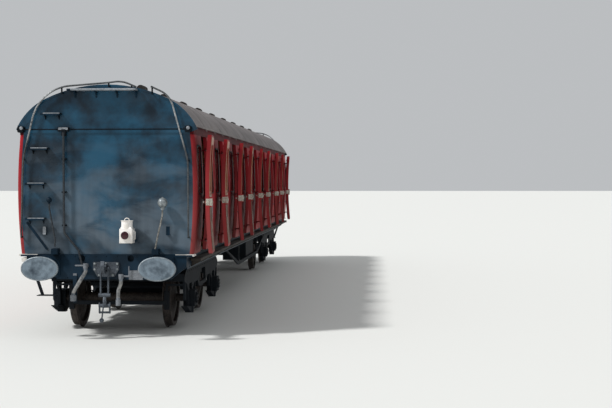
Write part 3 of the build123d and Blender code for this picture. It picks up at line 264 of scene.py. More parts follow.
def worn_steel(name, steel, stain, roughness, metallic=0.6, patch=0.11, rings=None, highlit_heights=None):
    """Worn steel, stained in patches.

    rings holds a centre |x|, z round which it is scuffed, and highlit_heights the heights between which it is
    paler: rubbed bright by hands, and partly a painted highlight.
    """
    material, add, place = new_material(name)
    stained = {"Vector": place, "Scale": 1 / patch, "Detail": 8.0, "Roughness": 0.65}
    patches = add("ShaderNodeTexNoise", stained, "Fac")
    grain = add("ShaderNodeTexNoise", {"Vector": place, "Scale": 60.0, "Detail": 6.0}, "Fac")
    parts = add("ShaderNodeSeparateXYZ", {"Vector": place}).node.outputs
    scuff = grain
    if rings:
        across = add("ShaderNodeMath", (parts["X"],), operation="ABSOLUTE")
        flat = add("ShaderNodeCombineXYZ", {"X": across, "Z": parts["Z"]})
        middle = (rings[0], 0.0, rings[1])
        centred = add("ShaderNodeVectorMath", (flat, middle), operation="SUBTRACT")
        wavy = {"Vector": centred, "Scale": 3.2, "Distortion": 9.0, "Detail": 6.0}
        ring = add("ShaderNodeTexWave", wavy, "Fac", wave_type="RINGS", rings_direction="Y")
        scuff = add("ShaderNodeMapRange", (ring, 0.0, 1.0, 0.47, 0.53), **SOFT)
    rubbed = add("ShaderNodeMath", (patches, scuff), operation="MULTIPLY")
    bright = add("ShaderNodeMapRange", (rubbed, 0.08, 0.4, 0.0, 1.0), **SOFT)
    # Between two heights the steel turns paler: rubbing, and partly a painted highlight
    if highlit_heights:
        for edge, ease in ((highlit_heights[0], 0.15), (highlit_heights[1], -0.06)):
            highlit_band = add("ShaderNodeMapRange", (parts["Z"], edge - ease, edge + ease, 0.2, 1.0), **SOFT)
            bright = add("ShaderNodeMath", (bright, highlit_band), operation="MULTIPLY")
    bump = add("ShaderNodeBump", {"Strength": 0.35, "Distance": 0.001, "Height": grain})
    looks = {"Metallic": metallic, "Normal": bump}
    return end_material(material, looks, coat(add, bright, (stain, steel), (roughness + 0.2, roughness)))


def timber(name, light, dark, roughness, stretch=(30.0, 2.0, 30.0), lacquer=0.0):
    """Planed timber: long grain lines along the board, a few millimetres apart."""
    material, add, place = new_material(name)
    along = add("ShaderNodeMapping", {"Vector": place, "Scale": stretch})
    lines = {"Vector": along, "Scale": 2.0, "Detail": 8.0, "Distortion": 0.6}
    grain = add("ShaderNodeTexNoise", lines, "Fac")
    bump = add("ShaderNodeBump", {"Strength": 0.4, "Distance": 0.0012, "Height": grain})
    looks = {"IOR": 1.5, "Coat Weight": lacquer, "Coat Roughness": 0.15, "Normal": bump}
    return end_material(material, looks, coat(add, grain, (dark, light), (roughness + 0.15, roughness)))


def cut_pile(name, ground, figure):
    """Cut-pile seat cloth: a soft pile with a small woven figure about 60 mm apart."""
    material, add, place = new_material(name)
    woven = {"Vector": place, "Scale": 16.0, "Randomness": 0.25}
    figures = add("ShaderNodeTexVoronoi", woven, "Distance")
    mask = add("ShaderNodeMapRange", (figures, 0.34, 0.26, 0.0, 1.0), **SOFT)
    colour = add("ShaderNodeMix", {0: mask, 6: ground, 7: figure}, 2, data_type="RGBA")
    pile = add("ShaderNodeTexNoise", {"Vector": place, "Scale": 420.0, "Detail": 2.0}, "Fac")
    bump = add("ShaderNodeBump", {"Strength": 0.5, "Distance": 0.002, "Height": pile})
    looks = {"Roughness": 0.95, "Sheen Weight": 0.5, "Sheen Roughness": 0.4}
    return end_material(material, looks, {"Base Color": colour, "Normal": bump})


def sheet_glass(name, tint, clear, grimy):
    """Sheet glass with a dusty film that comes and goes over a hand's width."""
    material, add, place = new_material(name)
    film = soft_patches(add, place, {"Scale": 6.0, "Detail": 6.0}, (0.3, 0.7, clear, grimy))
    looks = {"IOR": 1.5, "Transmission Weight": 0.9, "Base Color": tint, "Roughness": film}
    return end_material(material, looks)


def supple(name, face, bloom, roughness):
    """Hose rubber or strap leather: a grey bloom over a dark face, with fine cross ribs."""
    material, add, place = new_material(name)
    bloomed = soft_patches(add, place, {"Scale": 14.0, "Detail": 6.0}, (0.3, 0.7, 0.0, 1.0))
    ribs = add("ShaderNodeTexWave", {"Vector": place, "Scale": 30.0}, "Fac", bands_direction="Z")
    bump = add("ShaderNodeBump", {"Strength": 0.3, "Distance": 0.001, "Height": ribs})
    looks = {"IOR": 1.52, "Specular IOR Level": 0.2, "Normal": bump}
    return end_material(material, looks, coat(add, bloomed, (face, bloom), (roughness, roughness + 0.3)))


# Enamels. Columns: name, paint, shaded paint, dust, gloss, cover, heights of the dust, size of the
# patches, depth of the dents, shine, thinnest dust, slant, shift
ENAMELS = {
    # Running-gear enamel: nearly black, matt where brake dust lies on it
    "black_metal": ("black_underframe_enamel", "#090e13", "#10171e", "#34373a", 0.68, 0.35, (1.6, 0.1), 0.5, 0.0, 0.1),
    # Headstock enamel: blue-black, a little glossier, greyed below
    "headstock_paint": (
        "blue_black_headstock_enamel", "#091a26", "#10293a", "#3b4650", 0.5, 0.25, (1.35, 0.85), 0.4, 0.0, 0.12
    ),
    # End enamel: deep blue-black gloss on rippled sheets; its paler teal patches are painted reflections, and its
    # slanted dust clouds, thickening below, also paint diagonal light and shadow
    "blue_black_paint": (
        "blue_black_end_enamel", "#091e2c", "#1a4b64", "#636f79", 0.24, 0.75, (3.2, 1.6), 0.6, 0.03, 0.3,
        0.15, -38.0, 15.0,
    ),
    # Side enamel: bright crimson, dulled by a thin film of dust
    "crimson_paint": ("crimson_side_enamel", "#9c1a25", "#7b141c", "#94726b", 0.52, 0.3, (3.6, 0.9), 1.5, 0.002, 0.1),
    # Cantrail enamel: the same crimson darkened, painted shade under the gutter
    "cantrail_paint": ("sooty_cantrail_enamel", "#571016", "#410c11", "#49352f", 0.6, 0.3, (3.6, 0.9), 0.8, 0.0, 0.08),
    # Lamp enamel: warm white with soot round its foot
    "cream_paint": ("cream_lamp_enamel", "#f6f3f0", "#e8e2da", "#8c8272", 0.35, 0.4, (1.6, 1.38), 0.08),
    # Roof enamel: matt brown-grey from brake dust and smoke
    "roof_paint": ("weathered_roof_enamel", "#605b5b", "#7b7473", "#918b88", 0.65, 0.4, (3.9, 3.0), 0.6, 0.0, 0.3),
    # Ventilator enamel: sooty black over the roof's grey
    "vent_paint": ("sooty_vent_paint", "#24211f", "#3a3634", "#57504b", 0.7, 0.3, (3.9, 3.4), 0.2, 0.0, 0.2),
    # Ledge paint: chalky off-white, greyed by road dirt; its paleness is partly white paint, partly a painted
    # highlight where light falls on the ledges
    "ledge_paint": ("chalky_ledge_paint", "#e6e3dc", "#c9c6c0", "#8f8c88", 0.6, 0.3, (1.3, 1.0), 0.1),
}
# Other finishes: how each is made, its name, colours and the rest that its maker takes
FINISHES = {
    # Worn steel: blue-grey, polished by hands and feet
    "worn_steel": (worn_steel, "rubbed_steel", "#8f969e", "#4a5058", 0.4),
    # Coupling steel: dark grease in the hollows, bright where the links rub
    "coupling_steel": (worn_steel, "greasy_coupling_steel", "#575e66", "#2f343b", 0.45, 0.4, 0.2),
    # Cast iron of the pipes: pale grey scale over dark iron
    "pipe_steel": (worn_steel, "cast_pipe_iron", "#83878c", "#5a5f66", 0.55, 0.2, 0.2),
    # Buffer face: blue-grey steel, scuffed and greasy in soft patches
    "buffer_steel": (worn_steel, "buffer_face_steel", "#8a9aa6", "#26333f", 0.36, 0.4, 0.2, BUFFER_PLACE),
    # Buffer edges: pale steel, a painted highlight on the heads' rounded rims
    "rim_steel": (worn_steel, "bright_rim_steel", "#9fa8ad", "#4f5962", 0.35, 0.4, 0.3),
    # Steel of knobs and nuts: rubbed pale where hands and spanners go
    "knob_steel": (worn_steel, "rubbed_knob_steel", "#a2a8a9", "#464e54", 0.36, 0.4, 0.06),
    # Tread edges and cover plates: pale grey paint rubbed through to steel
    "tread_steel": (worn_steel, "rubbed_tread_steel", "#9a9fa4", "#666c72", 0.45, 0.2, 0.25),
    # Handrail steel: black paint worn to grey steel where hands slide; paler between two heights, partly a painted
    # highlight on the rails' upper parts
    "rail_steel": (worn_steel, "rubbed_rail_steel", "#b0b2b2", "#22272b", 0.35, 0.4, 0.5, None, (2.95, 3.72)),
    # Painted pipe and rod: black, rubbed to grey along its bends
    "pipe_paint": (worn_steel, "rubbed_pipe_paint", "#353b41", "#14181c", 0.3, 0.2, 0.4),
    # Pulled rod: black enamel, rubbed to bright steel where hands pull
    "rubbed_rod": (worn_steel, "rubbed_rod_steel", "#a3a19b", "#2b2a29", 0.35, 0.6, 0.05),
    # Tyre and web steel: brown rust under brake dust
    "wheel_steel": (worn_steel, "rolled_tyre_steel", "#423934", "#1d1b1a", 0.6, 0.3, 0.07),
    # Plated door furniture: dull nickel, yellowed where the brass shows through
    "brass": (worn_steel, "plated_door_brass", "#cfccc0", "#857f70", 0.3, 0.6, 0.06),
    # Footboard oak: nearly black and dry, greyed by boots and weather
    "dark_wood": (timber, "footboard_oak", "#3a332c", "#1d1a17", 0.75),
    # Floor lining: brown boards across the coach, scuffed dull
    "floor_boards": (timber, "floor_lining", "#4a3425", "#2d2119", 0.6, (2.0, 30.0, 30.0)),
    # Varnished sycamore: warm brown grain under a clear gloss
    "varnished_wood": (timber, "varnished_sycamore", "#b27c4a", "#7c4a26", 0.3, (30.0, 30.0, 3.0), 0.3),
    # Cloth of the seats: dark red pile that drinks the light, with small old-gold figures
    "moquette": (cut_pile, "seat_moquette", "#5b1f24", "#b08a4e"),
    # Door lining: plain brown leathercloth with a dull shine
    "lining": (supple, "lining_leathercloth", "#5a3a2a", "#6e4a36", 0.45),
    # Window strap: dark harness leather, paler where it bends
    "strap": (supple, "strap_leather", "#2e1c12", "#4a2f1e", 0.5),
    # Window glass: clear and faintly green, hazed by road dust
    "glass": (sheet_glass, "sheet_window_glass", "#e6f0ee", 0.02, 0.1),
    # Ruby lens: deep purple-red pressed glass, nearly black when unlit
    "ruby": (sheet_glass, "ruby_lamp_glass", "#4a0d1c", 0.05, 0.15),
    # Hoses: canvas-covered rubber with a pale bloom
    "rubber": (supple, "canvas_rubber", "#4c5054", "#a09f9c", 0.5),
    # Gaskets: black rubber, a thin dark line round each pane
    "gasket": (supple, "window_gasket", "#0d0d0e", "#222224", 0.45),
}


# Meshes


def side_x(height):
    """Half-width over the curved side at a height."""
    return HALF_WIDTH - SIDE_RADIUS + math.sqrt(SIDE_RADIUS**2 - (height - WAIST_HEIGHT) ** 2)


def roof_point(angle, lift, y):
    """Point over the roof's arch at an angle from upright, lifted off it, at a place along the coach."""
    radius, aside, centre = CROWN_ARCH if abs(angle) <= CROWN_SPAN else SHOULDER_ARCH
    turn = math.radians(angle)
    x = math.copysign(aside, angle) + (radius + lift) * math.sin(turn)
    return (x, y, centre + (radius + lift) * math.cos(turn))


def circle(count, radius=1.0):
    """Points round a circle, in order."""
    turns = [2 * math.pi * k / count for k in range(count)]
    return [(radius * math.cos(turn), radius * math.sin(turn)) for turn in turns]


def rounded_rectangle(width, height, radius, steps=6, middle=(0.0, 0.0)):
    """Points of a rounded rectangle, in order."""
    points = []
    for way_x, way_y, start in ((1, 1, 0), (-1, 1, 90), (-1, -1, 180), (1, -1, 270)):
        for step in range(steps + 1):
            angle = math.radians(start + 90 * step / steps)
            x = way_x * (width / 2 - radius) + radius * math.cos(angle)
            y = way_y * (height / 2 - radius) + radius * math.sin(angle)
            points.append((middle[0] + x, middle[1] + y))
    return points


def add_rows(shape, rows, closed=False):
    """Skin rows of points, as many in each: capped at both ends, or closed round to the first row."""
    made = [[shape.verts.new(point) for point in row] for row in rows]
    count = len(rows[0])
    for row, following in zip(made, made[1:] + made[:1] if closed else made[1:]):
        for k in range(count):
            after = (k + 1) % count
            shape.faces.new([row[k], row[after], following[after], following[k]])
    if not closed:
        shape.faces.new(made[0])
        shape.faces.new(made[-1])


def add_box(shape, low, high):
    """Add a box between two corners."""
    (x0, y0, z0), (x1, y1, z1) = low, high
    add_rows(shape, [[(x0, y0, z), (x1, y0, z), (x1, y1, z), (x0, y1, z)] for z in (z0, z1)])


def add_prism(shape, outline, low, high, turn=Matrix()):
    """Add an outline across the coach, pushed along it from one place to another, then turned."""
    add_rows(shape, [[turn @ Vector((x, y, z)) for x, z in outline] for y in (low, high)])


def add_turned(shape, place, outline, sides=28):
    """Add a turned form on a placement's upright line; its outline holds reaches and heights."""
    add_rows(shape, [[place @ Vector((x, y, up)) for x, y in circle(sides, reach)] for reach, up in outline])


def add_disc(shape, centre, axis, radius, depth, sides, crown):
    """Add a domed disc that stands on a face: its centre, outward axis, radius, depth and crown."""
    place = Matrix.Translation(centre) @ Vector(axis).to_track_quat("Z", "Y").to_matrix().to_4x4()
    dome = [math.radians(angle) for angle in (25, 50, 72)]
    outline = [(radius * math.cos(angle), depth + crown * math.sin(angle)) for angle in dome]
    add_turned(shape, place, [(radius, 0.0), (radius, depth), *outline], sides)


def add_arch(shape, y, section, low=-ROOF_SPAN, high=ROOF_SPAN):
    """Add a strip over the roof; its section holds lifts off the roof and reaches along the coach."""
    angles = [low + (high - low) * step / 36 for step in range(37)]
    add_rows(shape, [[roof_point(angle, lift, y + reach) for lift, reach in section] for angle in angles])


def add_side_slab(shape, along, up, depth, steps=8):
    """Add a slab that follows the curved side: spans along the coach, up it, and outwards from its face."""
    rows = []
    for step in range(steps + 1):
        z = up[0] + (up[1] - up[0]) * step / steps
        back, front = side_x(z) + depth[0], side_x(z) + depth[1]
        rows.append([(back, along[0], z), (front, along[0], z), (front, along[1], z), (back, along[1], z)])
    add_rows(shape, rows)


def add_ring(shape, outer, inner, depth, centre, bent=True):
    """Add a flat ring between two outlines with as many points each, on the side's face or upright."""
    rows = []
    for reach, points in ((depth[0], outer), (depth[1], outer), (depth[1], inner), (depth[0], inner)):
        placed = [(y + centre[0], z + centre[1]) for y, z in points]
        rows.append([((side_x(z) if bent else HALF_WIDTH) + reach, y, z) for y, z in placed])
    add_rows(shape, rows, closed=True)


def add_pad(shape, low, high, sections, crown):
    """Add a stuffed pad with sewn sections along X: its sides pull in at the seams and its ends."""
    (x0, y0, z0), (x1, y1, z1) = low, high
    height, depth = (z1 - z0) / 2, (y1 - y0) / 2
    seam, stations = 0.018, 10 * sections
    rows = []
    for station in range(stations + 1):
        x = x0 + (x1 - x0) * station / stations
        swell = abs(math.sin(math.pi * sections * station / stations)) ** 0.5
        pull = seam * (1 - swell)
        row = []
        for y, z in rounded_rectangle(2 * depth - 2 * pull, 2 * height - 2 * pull, min(height, depth) * 0.55, 4):
            bulge = crown * swell * (1 - (y / depth) ** 2) if z > 0 else 0.0
            row.append((x, (y0 + y1) / 2 + y, (z0 + z1) / 2 + z - crown + bulge))
        rows.append(row)
    add_rows(shape, rows)


def copy_to_far_end(shape):
    """Copy everything in a bmesh to the far end, turned about the coach's middle."""
    made = bmesh.ops.duplicate(shape, geom=shape.verts[:] + shape.edges[:] + shape.faces[:])
    moved = [item for item in made["geom"] if isinstance(item, bmesh.types.BMVert)]
    bmesh.ops.transform(shape, matrix=ENDS[1], verts=moved)


def show(name, mesh, body):
    """Show a mesh as one piece that rides on a body."""
    piece = bpy.data.objects.new(name, mesh)
    bpy.context.scene.collection.objects.link(piece)
    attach(piece, body)
    return piece


def add_piece(name, shape, body, finish, place=Matrix(), smooth=None):
    """Merge a bmesh's doubles, turn its faces outwards and show it in its place as one piece."""
    bmesh.ops.remove_doubles(shape, verts=shape.verts, dist=1e-5)
    bmesh.ops.recalc_face_normals(shape, faces=shape.faces)
    bmesh.ops.transform(shape, matrix=place, verts=shape.verts)
    mesh = bpy.data.meshes.new(name)
    shape.to_mesh(mesh)
    shape.free()
    if smooth is not None:
        mesh.shade_smooth()
        mesh.set_sharp_from_angle(angle=math.radians(smooth))
    mesh.materials.append(MATERIALS[finish])
    return show(name, mesh, body)


# Geometry Nodes


def new_tree(name, sizes):
    """Start a tree whose named inputs are its sizes and its finish."""
    tree = bpy.data.node_groups.new(name, "GeometryNodeTree")
    tree.interface.new_socket("Geometry", in_out="INPUT", socket_type="NodeSocketGeometry")
    for label, value in sizes.items():
        kind = "NodeSocketInt" if isinstance(value, int) else "NodeSocketFloat"
        tree.interface.new_socket(label, in_out="INPUT", socket_type=kind).default_value = value
    tree.interface.new_socket("Finish", in_out="INPUT", socket_type="NodeSocketMaterial")
    tree.interface.new_socket("Geometry", in_out="OUTPUT", socket_type="NodeSocketGeometry")
    return tree, add_node(tree, "NodeGroupInput").node.outputs


def end_tree(tree, given, made):
    """Realise what a tree has made and give it the finish."""
    real = add_node(tree, "GeometryNodeRealizeInstances", {"Geometry": made})
    finished = add_node(tree, "GeometryNodeSetMaterial", {"Geometry": real, "Material": given["Finish"]})
    add_node(tree, "NodeGroupOutput", {"Geometry": finished})
    return tree


def set_on_points(tree, given, shape):
    """Set one shape on each point, square to the outward direction kept there."""
    kept = {"Name": "outward"}
    outward = add_node(tree, "GeometryNodeInputNamedAttribute", kept, "Attribute", data_type="FLOAT_VECTOR")
    turn = add_node(tree, "FunctionNodeAlignRotationToVector", {"Vector": outward}, axis="Z")
    set_out = {"Points": given["Geometry"], "Instance": shape, "Rotation": turn}
    return add_node(tree, "GeometryNodeInstanceOnPoints", set_out)


def sweep(tree, curve, radius, sides):
    """Draw a round section along a curve, smooth and closed at its ends."""
    ring = add_node(tree, "GeometryNodeCurvePrimitiveCircle", {"Radius": radius, "Resolution": sides})
    swept = {"Curve": curve, "Profile Curve": ring, "Fill Caps": True}
    return add_node(tree, "GeometryNodeSetShadeSmooth", {"Geometry": add_node(tree, "GeometryNodeCurveToMesh", swept)})


def head_tree():
    """Rivet heads or nuts: a short tapered head on each point."""
    tree, given = new_tree("heads", {"Radius": 0.012, "Top": 0.007, "Height": 0.008, "Sides": 10})
    tapered = {
        "Vertices": given["Sides"],
        "Radius Bottom": given["Radius"],
        "Radius Top": given["Top"],
        "Depth": given["Height"],
    }
    return end_tree(tree, given, set_on_points(tree, given, add_node(tree, "GeometryNodeMeshCone", tapered)))


def coil_tree():
    """Coil springs: a wound wire on each point."""
    tree, given = new_tree("coils", {"Coil": 0.066, "Wire": 0.011, "Height": 0.2, "Turns": 5.0})
    wound = {
        "Resolution": 20,
        "Rotations": given["Turns"],
        "Start Radius": given["Coil"],
        "End Radius": given["Coil"],
        "Height": given["Height"],
    }
    coil = sweep(tree, add_node(tree, "GeometryNodeCurveSpiral", wound), given["Wire"], 8)
    return end_tree(tree, given, set_on_points(tree, given, coil))


def rod_tree():
    """Bent rods: a round section along each run of edges, each corner bent to the radius kept there."""
    tree, given = new_tree("rods", {"Radius": 0.012, "Sides": 12, "Steps": 8})
    path = add_node(tree, "GeometryNodeMeshToCurve", {"Mesh": given["Geometry"]})
    bend = add_node(tree, "GeometryNodeInputNamedAttribute", {"Name": "bend"}, "Attribute", data_type="FLOAT")
    corners = {"Curve": path, "Radius": bend, "Count": given["Steps"], "Limit Radius": True}
    bent = add_node(tree, "GeometryNodeFilletCurve", corners, mode="POLY")
    return end_tree(tree, given, sweep(tree, bent, given["Radius"], given["Sides"]))


def grow(name, tree, seed_mesh, body, finish, sizes):
    """Run a tree on a seed mesh and keep its result as one plain piece."""
    seed = bpy.data.objects.new(name, seed_mesh)
    bpy.context.scene.collection.objects.link(seed)
    modifier = seed.modifiers.new("grow", "NODES")
    modifier.node_group = tree
    wanted = dict(sizes, Finish=MATERIALS[finish])
    for item in tree.interface.items_tree:
        if item.item_type == "SOCKET" and item.in_out == "INPUT" and item.name in wanted:
            modifier[item.identifier] = wanted[item.name]
    mesh = bpy.data.meshes.new_from_object(seed.evaluated_get(bpy.context.evaluated_depsgraph_get()))
    bpy.data.objects.remove(seed)
    return show(name, mesh, body)


def seed_points(points):
    """Make a seed of loose points, each with its outward direction."""
    mesh = bpy.data.meshes.new("seed")
    mesh.from_pydata([tuple(point) for point, outward in points], [], [])
    kept = mesh.attributes.new("outward", "FLOAT_VECTOR", "POINT")
    for k, (point, outward) in enumerate(points):
        kept.data[k].vector = outward
    return mesh


def seed_runs(runs):
    """Make a seed of runs of edges from lists of points, each with the radius of its bend."""
    points, edges = [], []
    for run in runs:
        edges += [(len(points) + k, len(points) + k + 1) for k in range(len(run) - 1)]
        points += run
    mesh = bpy.data.meshes.new("seed")
    mesh.from_pydata([tuple(point) for point, bend in points], edges, [])
    kept = mesh.attributes.new("bend", "FLOAT", "POINT")
    for k, (point, bend) in enumerate(points):
        kept.data[k].value = bend
    return mesh


def side_spots(spots):
    """Points and outward directions on both sides, from spots of the right side."""
    return [(Vector((side * x, y, z)), Vector((side, 0, 0))) for side in (-1, 1) for x, y, z in spots]


def end_spots(spots, depth):
    """Points and outward directions on both headstocks, at a depth in front of them."""
    face = -HEADSTOCK_FACE - depth
    return [(end @ Vector((x, face, z)), end.to_3x3() @ Vector((0, -1, 0))) for end in ENDS for x, z in spots]


def end_run(route, depth, end):
    """Points and bends of a run across one end of the coach, at a depth in front of its wall."""
    return [(end @ Vector((x, -HALF_LENGTH - depth, z)), bend) for x, z, bend in route]


def shorten(run, length):
    """Keep only this much of a straight run, from its hose's own end."""
    (first, bend), (second, other) = run
    start, stop = (first, second) if bend == 0.0 else (second, first)
    return [(start, 0.0), (start + (stop - start).normalized() * length, 0.0)]


def door_place(body):
    """Placement at rest of a door that is drawn shut at the middle of the right side."""
    side, number = body.split("_door_")
    centre = Matrix.Translation((0, DOOR_CENTRES[int(number) - 1], 0))
    if side == "left":
        return centre @ ENDS[1]
    joint = JOINTS[f"{body}_hinge"]
    hinge = Vector((joint["pos_m"][0], joint["pos_m"][1] - DOOR_CENTRES[int(number) - 1], 0))
    swing = Matrix.Rotation(math.radians(joint["range_deg"][0]), 4, "Z")
    return centre @ Matrix.Translation(hinge) @ swing @ Matrix.Translation(-hinge)


# Settings


class COACH_sizes(bpy.types.PropertyGroup):
    """Sizes that a user would change."""

    window_low: FloatProperty(
        name="Window foot", description="Height of the windows' lower edge", default=2.172, unit="LENGTH"
    )
    window_high: FloatProperty(
        name="Window head", description="Height of the windows' upper edge", default=2.912, unit="LENGTH"
    )
    door_window: FloatProperty(
        name="Door window", description="Width of a door's window", default=0.43, unit="LENGTH"
    )
    quarterlight: FloatProperty(
        name="Quarterlight", description="Width of a fixed window", default=0.4, unit="LENGTH"
    )
    window_bend: FloatProperty(
        name="Window corner", description="Radius of a window's corners", default=0.055, unit="LENGTH"
    )
    rivet_pitch: FloatProperty(
        name="Rivet pitch", description="Distance between rivets", default=0.15, unit="LENGTH"
    )
    rivet_radius: FloatProperty(
        name="Rivet radius", description="Radius of a rivet head", default=0.011, unit="LENGTH"
    )
    nut_radius: FloatProperty(
        name="Nut radius", description="Radius of a hexagon nut", default=0.019, unit="LENGTH"
    )
    rail_radius: FloatProperty(
        name="Handrail radius", description="Radius of the end handrails", default=0.0135, unit="LENGTH"
    )
    coil_turns: FloatProperty(name="Spring turns", description="Turns of a bolster spring", default=5.5)
    seat_sections: IntProperty(name="Bench sections", description="Sewn sections of a bench", default=6)
    seat_fill: FloatProperty(
        name="Bench fill", description="How full the cushions are", default=0.85, subtype="FACTOR"
    )


class COACH_colours(bpy.types.PropertyGroup):
    """Light and colours that a user would change."""

    key_light: FloatProperty(name="Key light", description="Strength of the key light", default=3.1)
    room_light: FloatProperty(name="Room light", description="Strength of the room's light", default=0.62)
    room: FloatVectorProperty(
        name="Room", description="Colour of the room", subtype="COLOR", size=4, default=linear("#e8ebee")
    )
    floor: FloatVectorProperty(
        name="Floor", description="Colour of the floor", subtype="COLOR", size=4, default=linear("#dcdcd8")
    )


# Pieces


class COACH_OT_finishes(bpy.types.Operator):
    """Make the finishes and put one on every part of the frame"""

    bl_idname = "coach.finishes"
    bl_label = "Finishes"

    def execute(self, context):
        MATERIALS.update({key: enamel(*looks) for key, looks in ENAMELS.items()})
        MATERIALS.update({key: make(*looks) for key, (make, *looks) in FINISHES.items()})
        for node in frame["nodes"]:
            part = bpy.data.objects[node]
            part.data.materials.clear()
            part.data.materials.append(MATERIALS[OWN_FINISHES.get(node, SLOTS[node])])
        return {"FINISHED"}


class COACH_OT_stage(bpy.types.Operator):
    """Make the floor, the light and the camera"""

    bl_idname = "coach.stage"
    bl_label = "Stage"

    def execute(self, context):
        scene = context.scene
        colours = scene.coach_colours
        floor_mesh = bpy.data.meshes.new("stage_floor")
        floor_mesh.from_pydata([(-90, -60, 0), (90, -60, 0), (90, 240, 0), (-90, 240, 0)], [], [(0, 1, 2, 3)])
        floor = bpy.data.objects.new("stage_floor", floor_mesh)
        material, add, place = new_material("pale_studio_floor")
        floor_mesh.materials.append(end_material(material, {"Base Color": colours.floor, "Roughness": 0.85}))
        world = bpy.data.worlds.new("studio")
        world.use_nodes = True
        world.node_tree.nodes["Background"].inputs["Color"].default_value = colours.room
        world.node_tree.nodes["Background"].inputs["Strength"].default_value = colours.room_light
        scene.world = world
        sun = bpy.data.lights.new("key", "SUN")
        sun.energy = colours.key_light
        sun.angle = math.radians(6)
        key = bpy.data.objects.new("key", sun)
        key.matrix_world = Vector(KEY_DIRECTION).to_track_quat("Z", "Y").to_matrix().to_4x4()
        lens = bpy.data.cameras.new("camera")
        lens.lens = CAMERA_LENS
        lens.sensor_width = 36
        lens.clip_end = 400
        camera = bpy.data.objects.new("camera", lens)
        view = Matrix.Translation(CAMERA_PLACE)
        for axis, angle in CAMERA_TURNS:
            view = view @ Matrix.Rotation(math.radians(angle), 4, axis)
        camera.matrix_world = view
        for item in (floor, key, camera):
            scene.collection.objects.link(item)
        scene.camera = camera
        scene.view_settings.view_transform = "Standard"
        return {"FINISHED"}


class COACH_OT_windows(bpy.types.Operator):
    """Give the fixed side windows their gaskets"""

    bl_idname = "coach.windows"
    bl_label = "Side windows"

    def execute(self, context):
        sizes = context.scene.coach_sizes
        wide, tall = sizes.quarterlight, sizes.window_high - sizes.window_low
        middle = (sizes.window_high + sizes.window_low) / 2
        # Laps of a gasket: over the wall, and over the glass
        outer, inner = (
            rounded_rectangle(wide + 2 * lap, tall + 2 * lap, sizes.window_bend + lap) for lap in (0.011, -0.007)
        )
        for side, end in zip(("right", "left"), ENDS):
            gaskets = bmesh.new()
            for centre in DOOR_CENTRES:
                for way in (-1, 1):
                    place = (centre + way * QUARTERLIGHT_PLACE, middle)
                    add_ring(gaskets, outer, inner, (-0.012, 0.004), place)
            add_piece(f"window_gaskets_{side}", gaskets, "body", "gasket", end, 40)
        return {"FINISHED"}


class COACH_OT_doors(bpy.types.Operator):
    """Give every door its droplight, its lining, its strap, its lock and its handle"""

    bl_idname = "coach.doors"
    bl_label = "Door trim"

    def execute(self, context):
        sizes = context.scene.coach_sizes
        low, high, wide = sizes.window_low, sizes.window_high, sizes.door_window
        tall, middle = high - low, (high + low) / 2
        outer = rounded_rectangle(wide - 0.002, tall - 0.002, 0.054)
        inner = rounded_rectangle(wide - 0.07, tall - 0.07, 0.03)
        inside = (-WALL - 0.007, -WALL + 0.001)
        # Boards round the window, as spans along the coach and up, and steps: two sides, head and sill
        boards = (
            ((-LINING_HALF, -FRAME_HALF), (low - 0.05, high + 0.12), 8),
            ((FRAME_HALF, LINING_HALF), (low - 0.05, high + 0.12), 8),
            ((-FRAME_HALF, FRAME_HALF), (high + 0.01, high + 0.12), 2),
            ((-FRAME_HALF, FRAME_HALF), (low - 0.05, low - 0.01), 2),
        )
        pane = HALF_WIDTH - 0.042
        half_wide, half_tall = wide / 2 - 0.033, tall / 2 - 0.033
        y, z = DOOR_LOCK
        front, back = side_x(z), side_x(z) - WALL
        for body in [f"{side}_door_{n + 1}" for side in ("right", "left") for n in range(COMPARTMENTS)]:
            wood, cloth, leather, panes, brass = (bmesh.new() for part in range(5))
            add_ring(wood, outer, inner, (-0.054, -0.030), (0, middle), False)
            for along, up, steps in boards:
                add_side_slab(wood, along, up, inside, steps)
            add_side_slab(cloth, (-LINING_HALF, LINING_HALF), (BODY_FOOT + 0.05, low - 0.06), inside)
            add_side_slab(leather, (-0.03, 0.03), (low - 0.42, low), (-WALL - 0.011, -WALL - 0.007), 4)
            low_corner = (pane - 0.003, -half_wide, middle - half_tall)
            add_box(panes, low_corner, (pane + 0.003, half_wide, middle + half_tall))
            # Boss and handle outside, strike plate on the door's edge, lock case and its knob inside
            add_disc(brass, (front, y, z), (1, 0, 0), 0.032, 0.006, 20, 0.004)
            add_box(brass, (front + 0.0245, y - 0.101, z - 0.0125), (front + 0.0375, y + 0.021, z + 0.0125))
            add_box(brass, (back + 0.004, y + 0.0546, z - 0.05), (front - 0.008, y + 0.0566, z + 0.05))
            add_box(brass, (back - 0.0415, y - 0.044, z - 0.055), (back + 0.001, y + 0.049, z + 0.055))
            add_disc(brass, (back - 0.0415, y, z), (-1, 0, 0), 0.028, 0.006, 16, 0.004)
            pieces = (
                ("door_wood", wood, "varnished_wood", "varnished_wood"),
                ("door_lining", cloth, "lining", "moquette"),
                ("door_strap", leather, "strap", "rubber"),
                ("droplight", panes, "glass", "glass"),
                ("door_brass", brass, "brass", "worn_steel"),
            )
            for name, shape, finish, slot in pieces:
                add_piece(f"{name}_{body}", shape, body, finish, door_place(body))
        return {"FINISHED"}


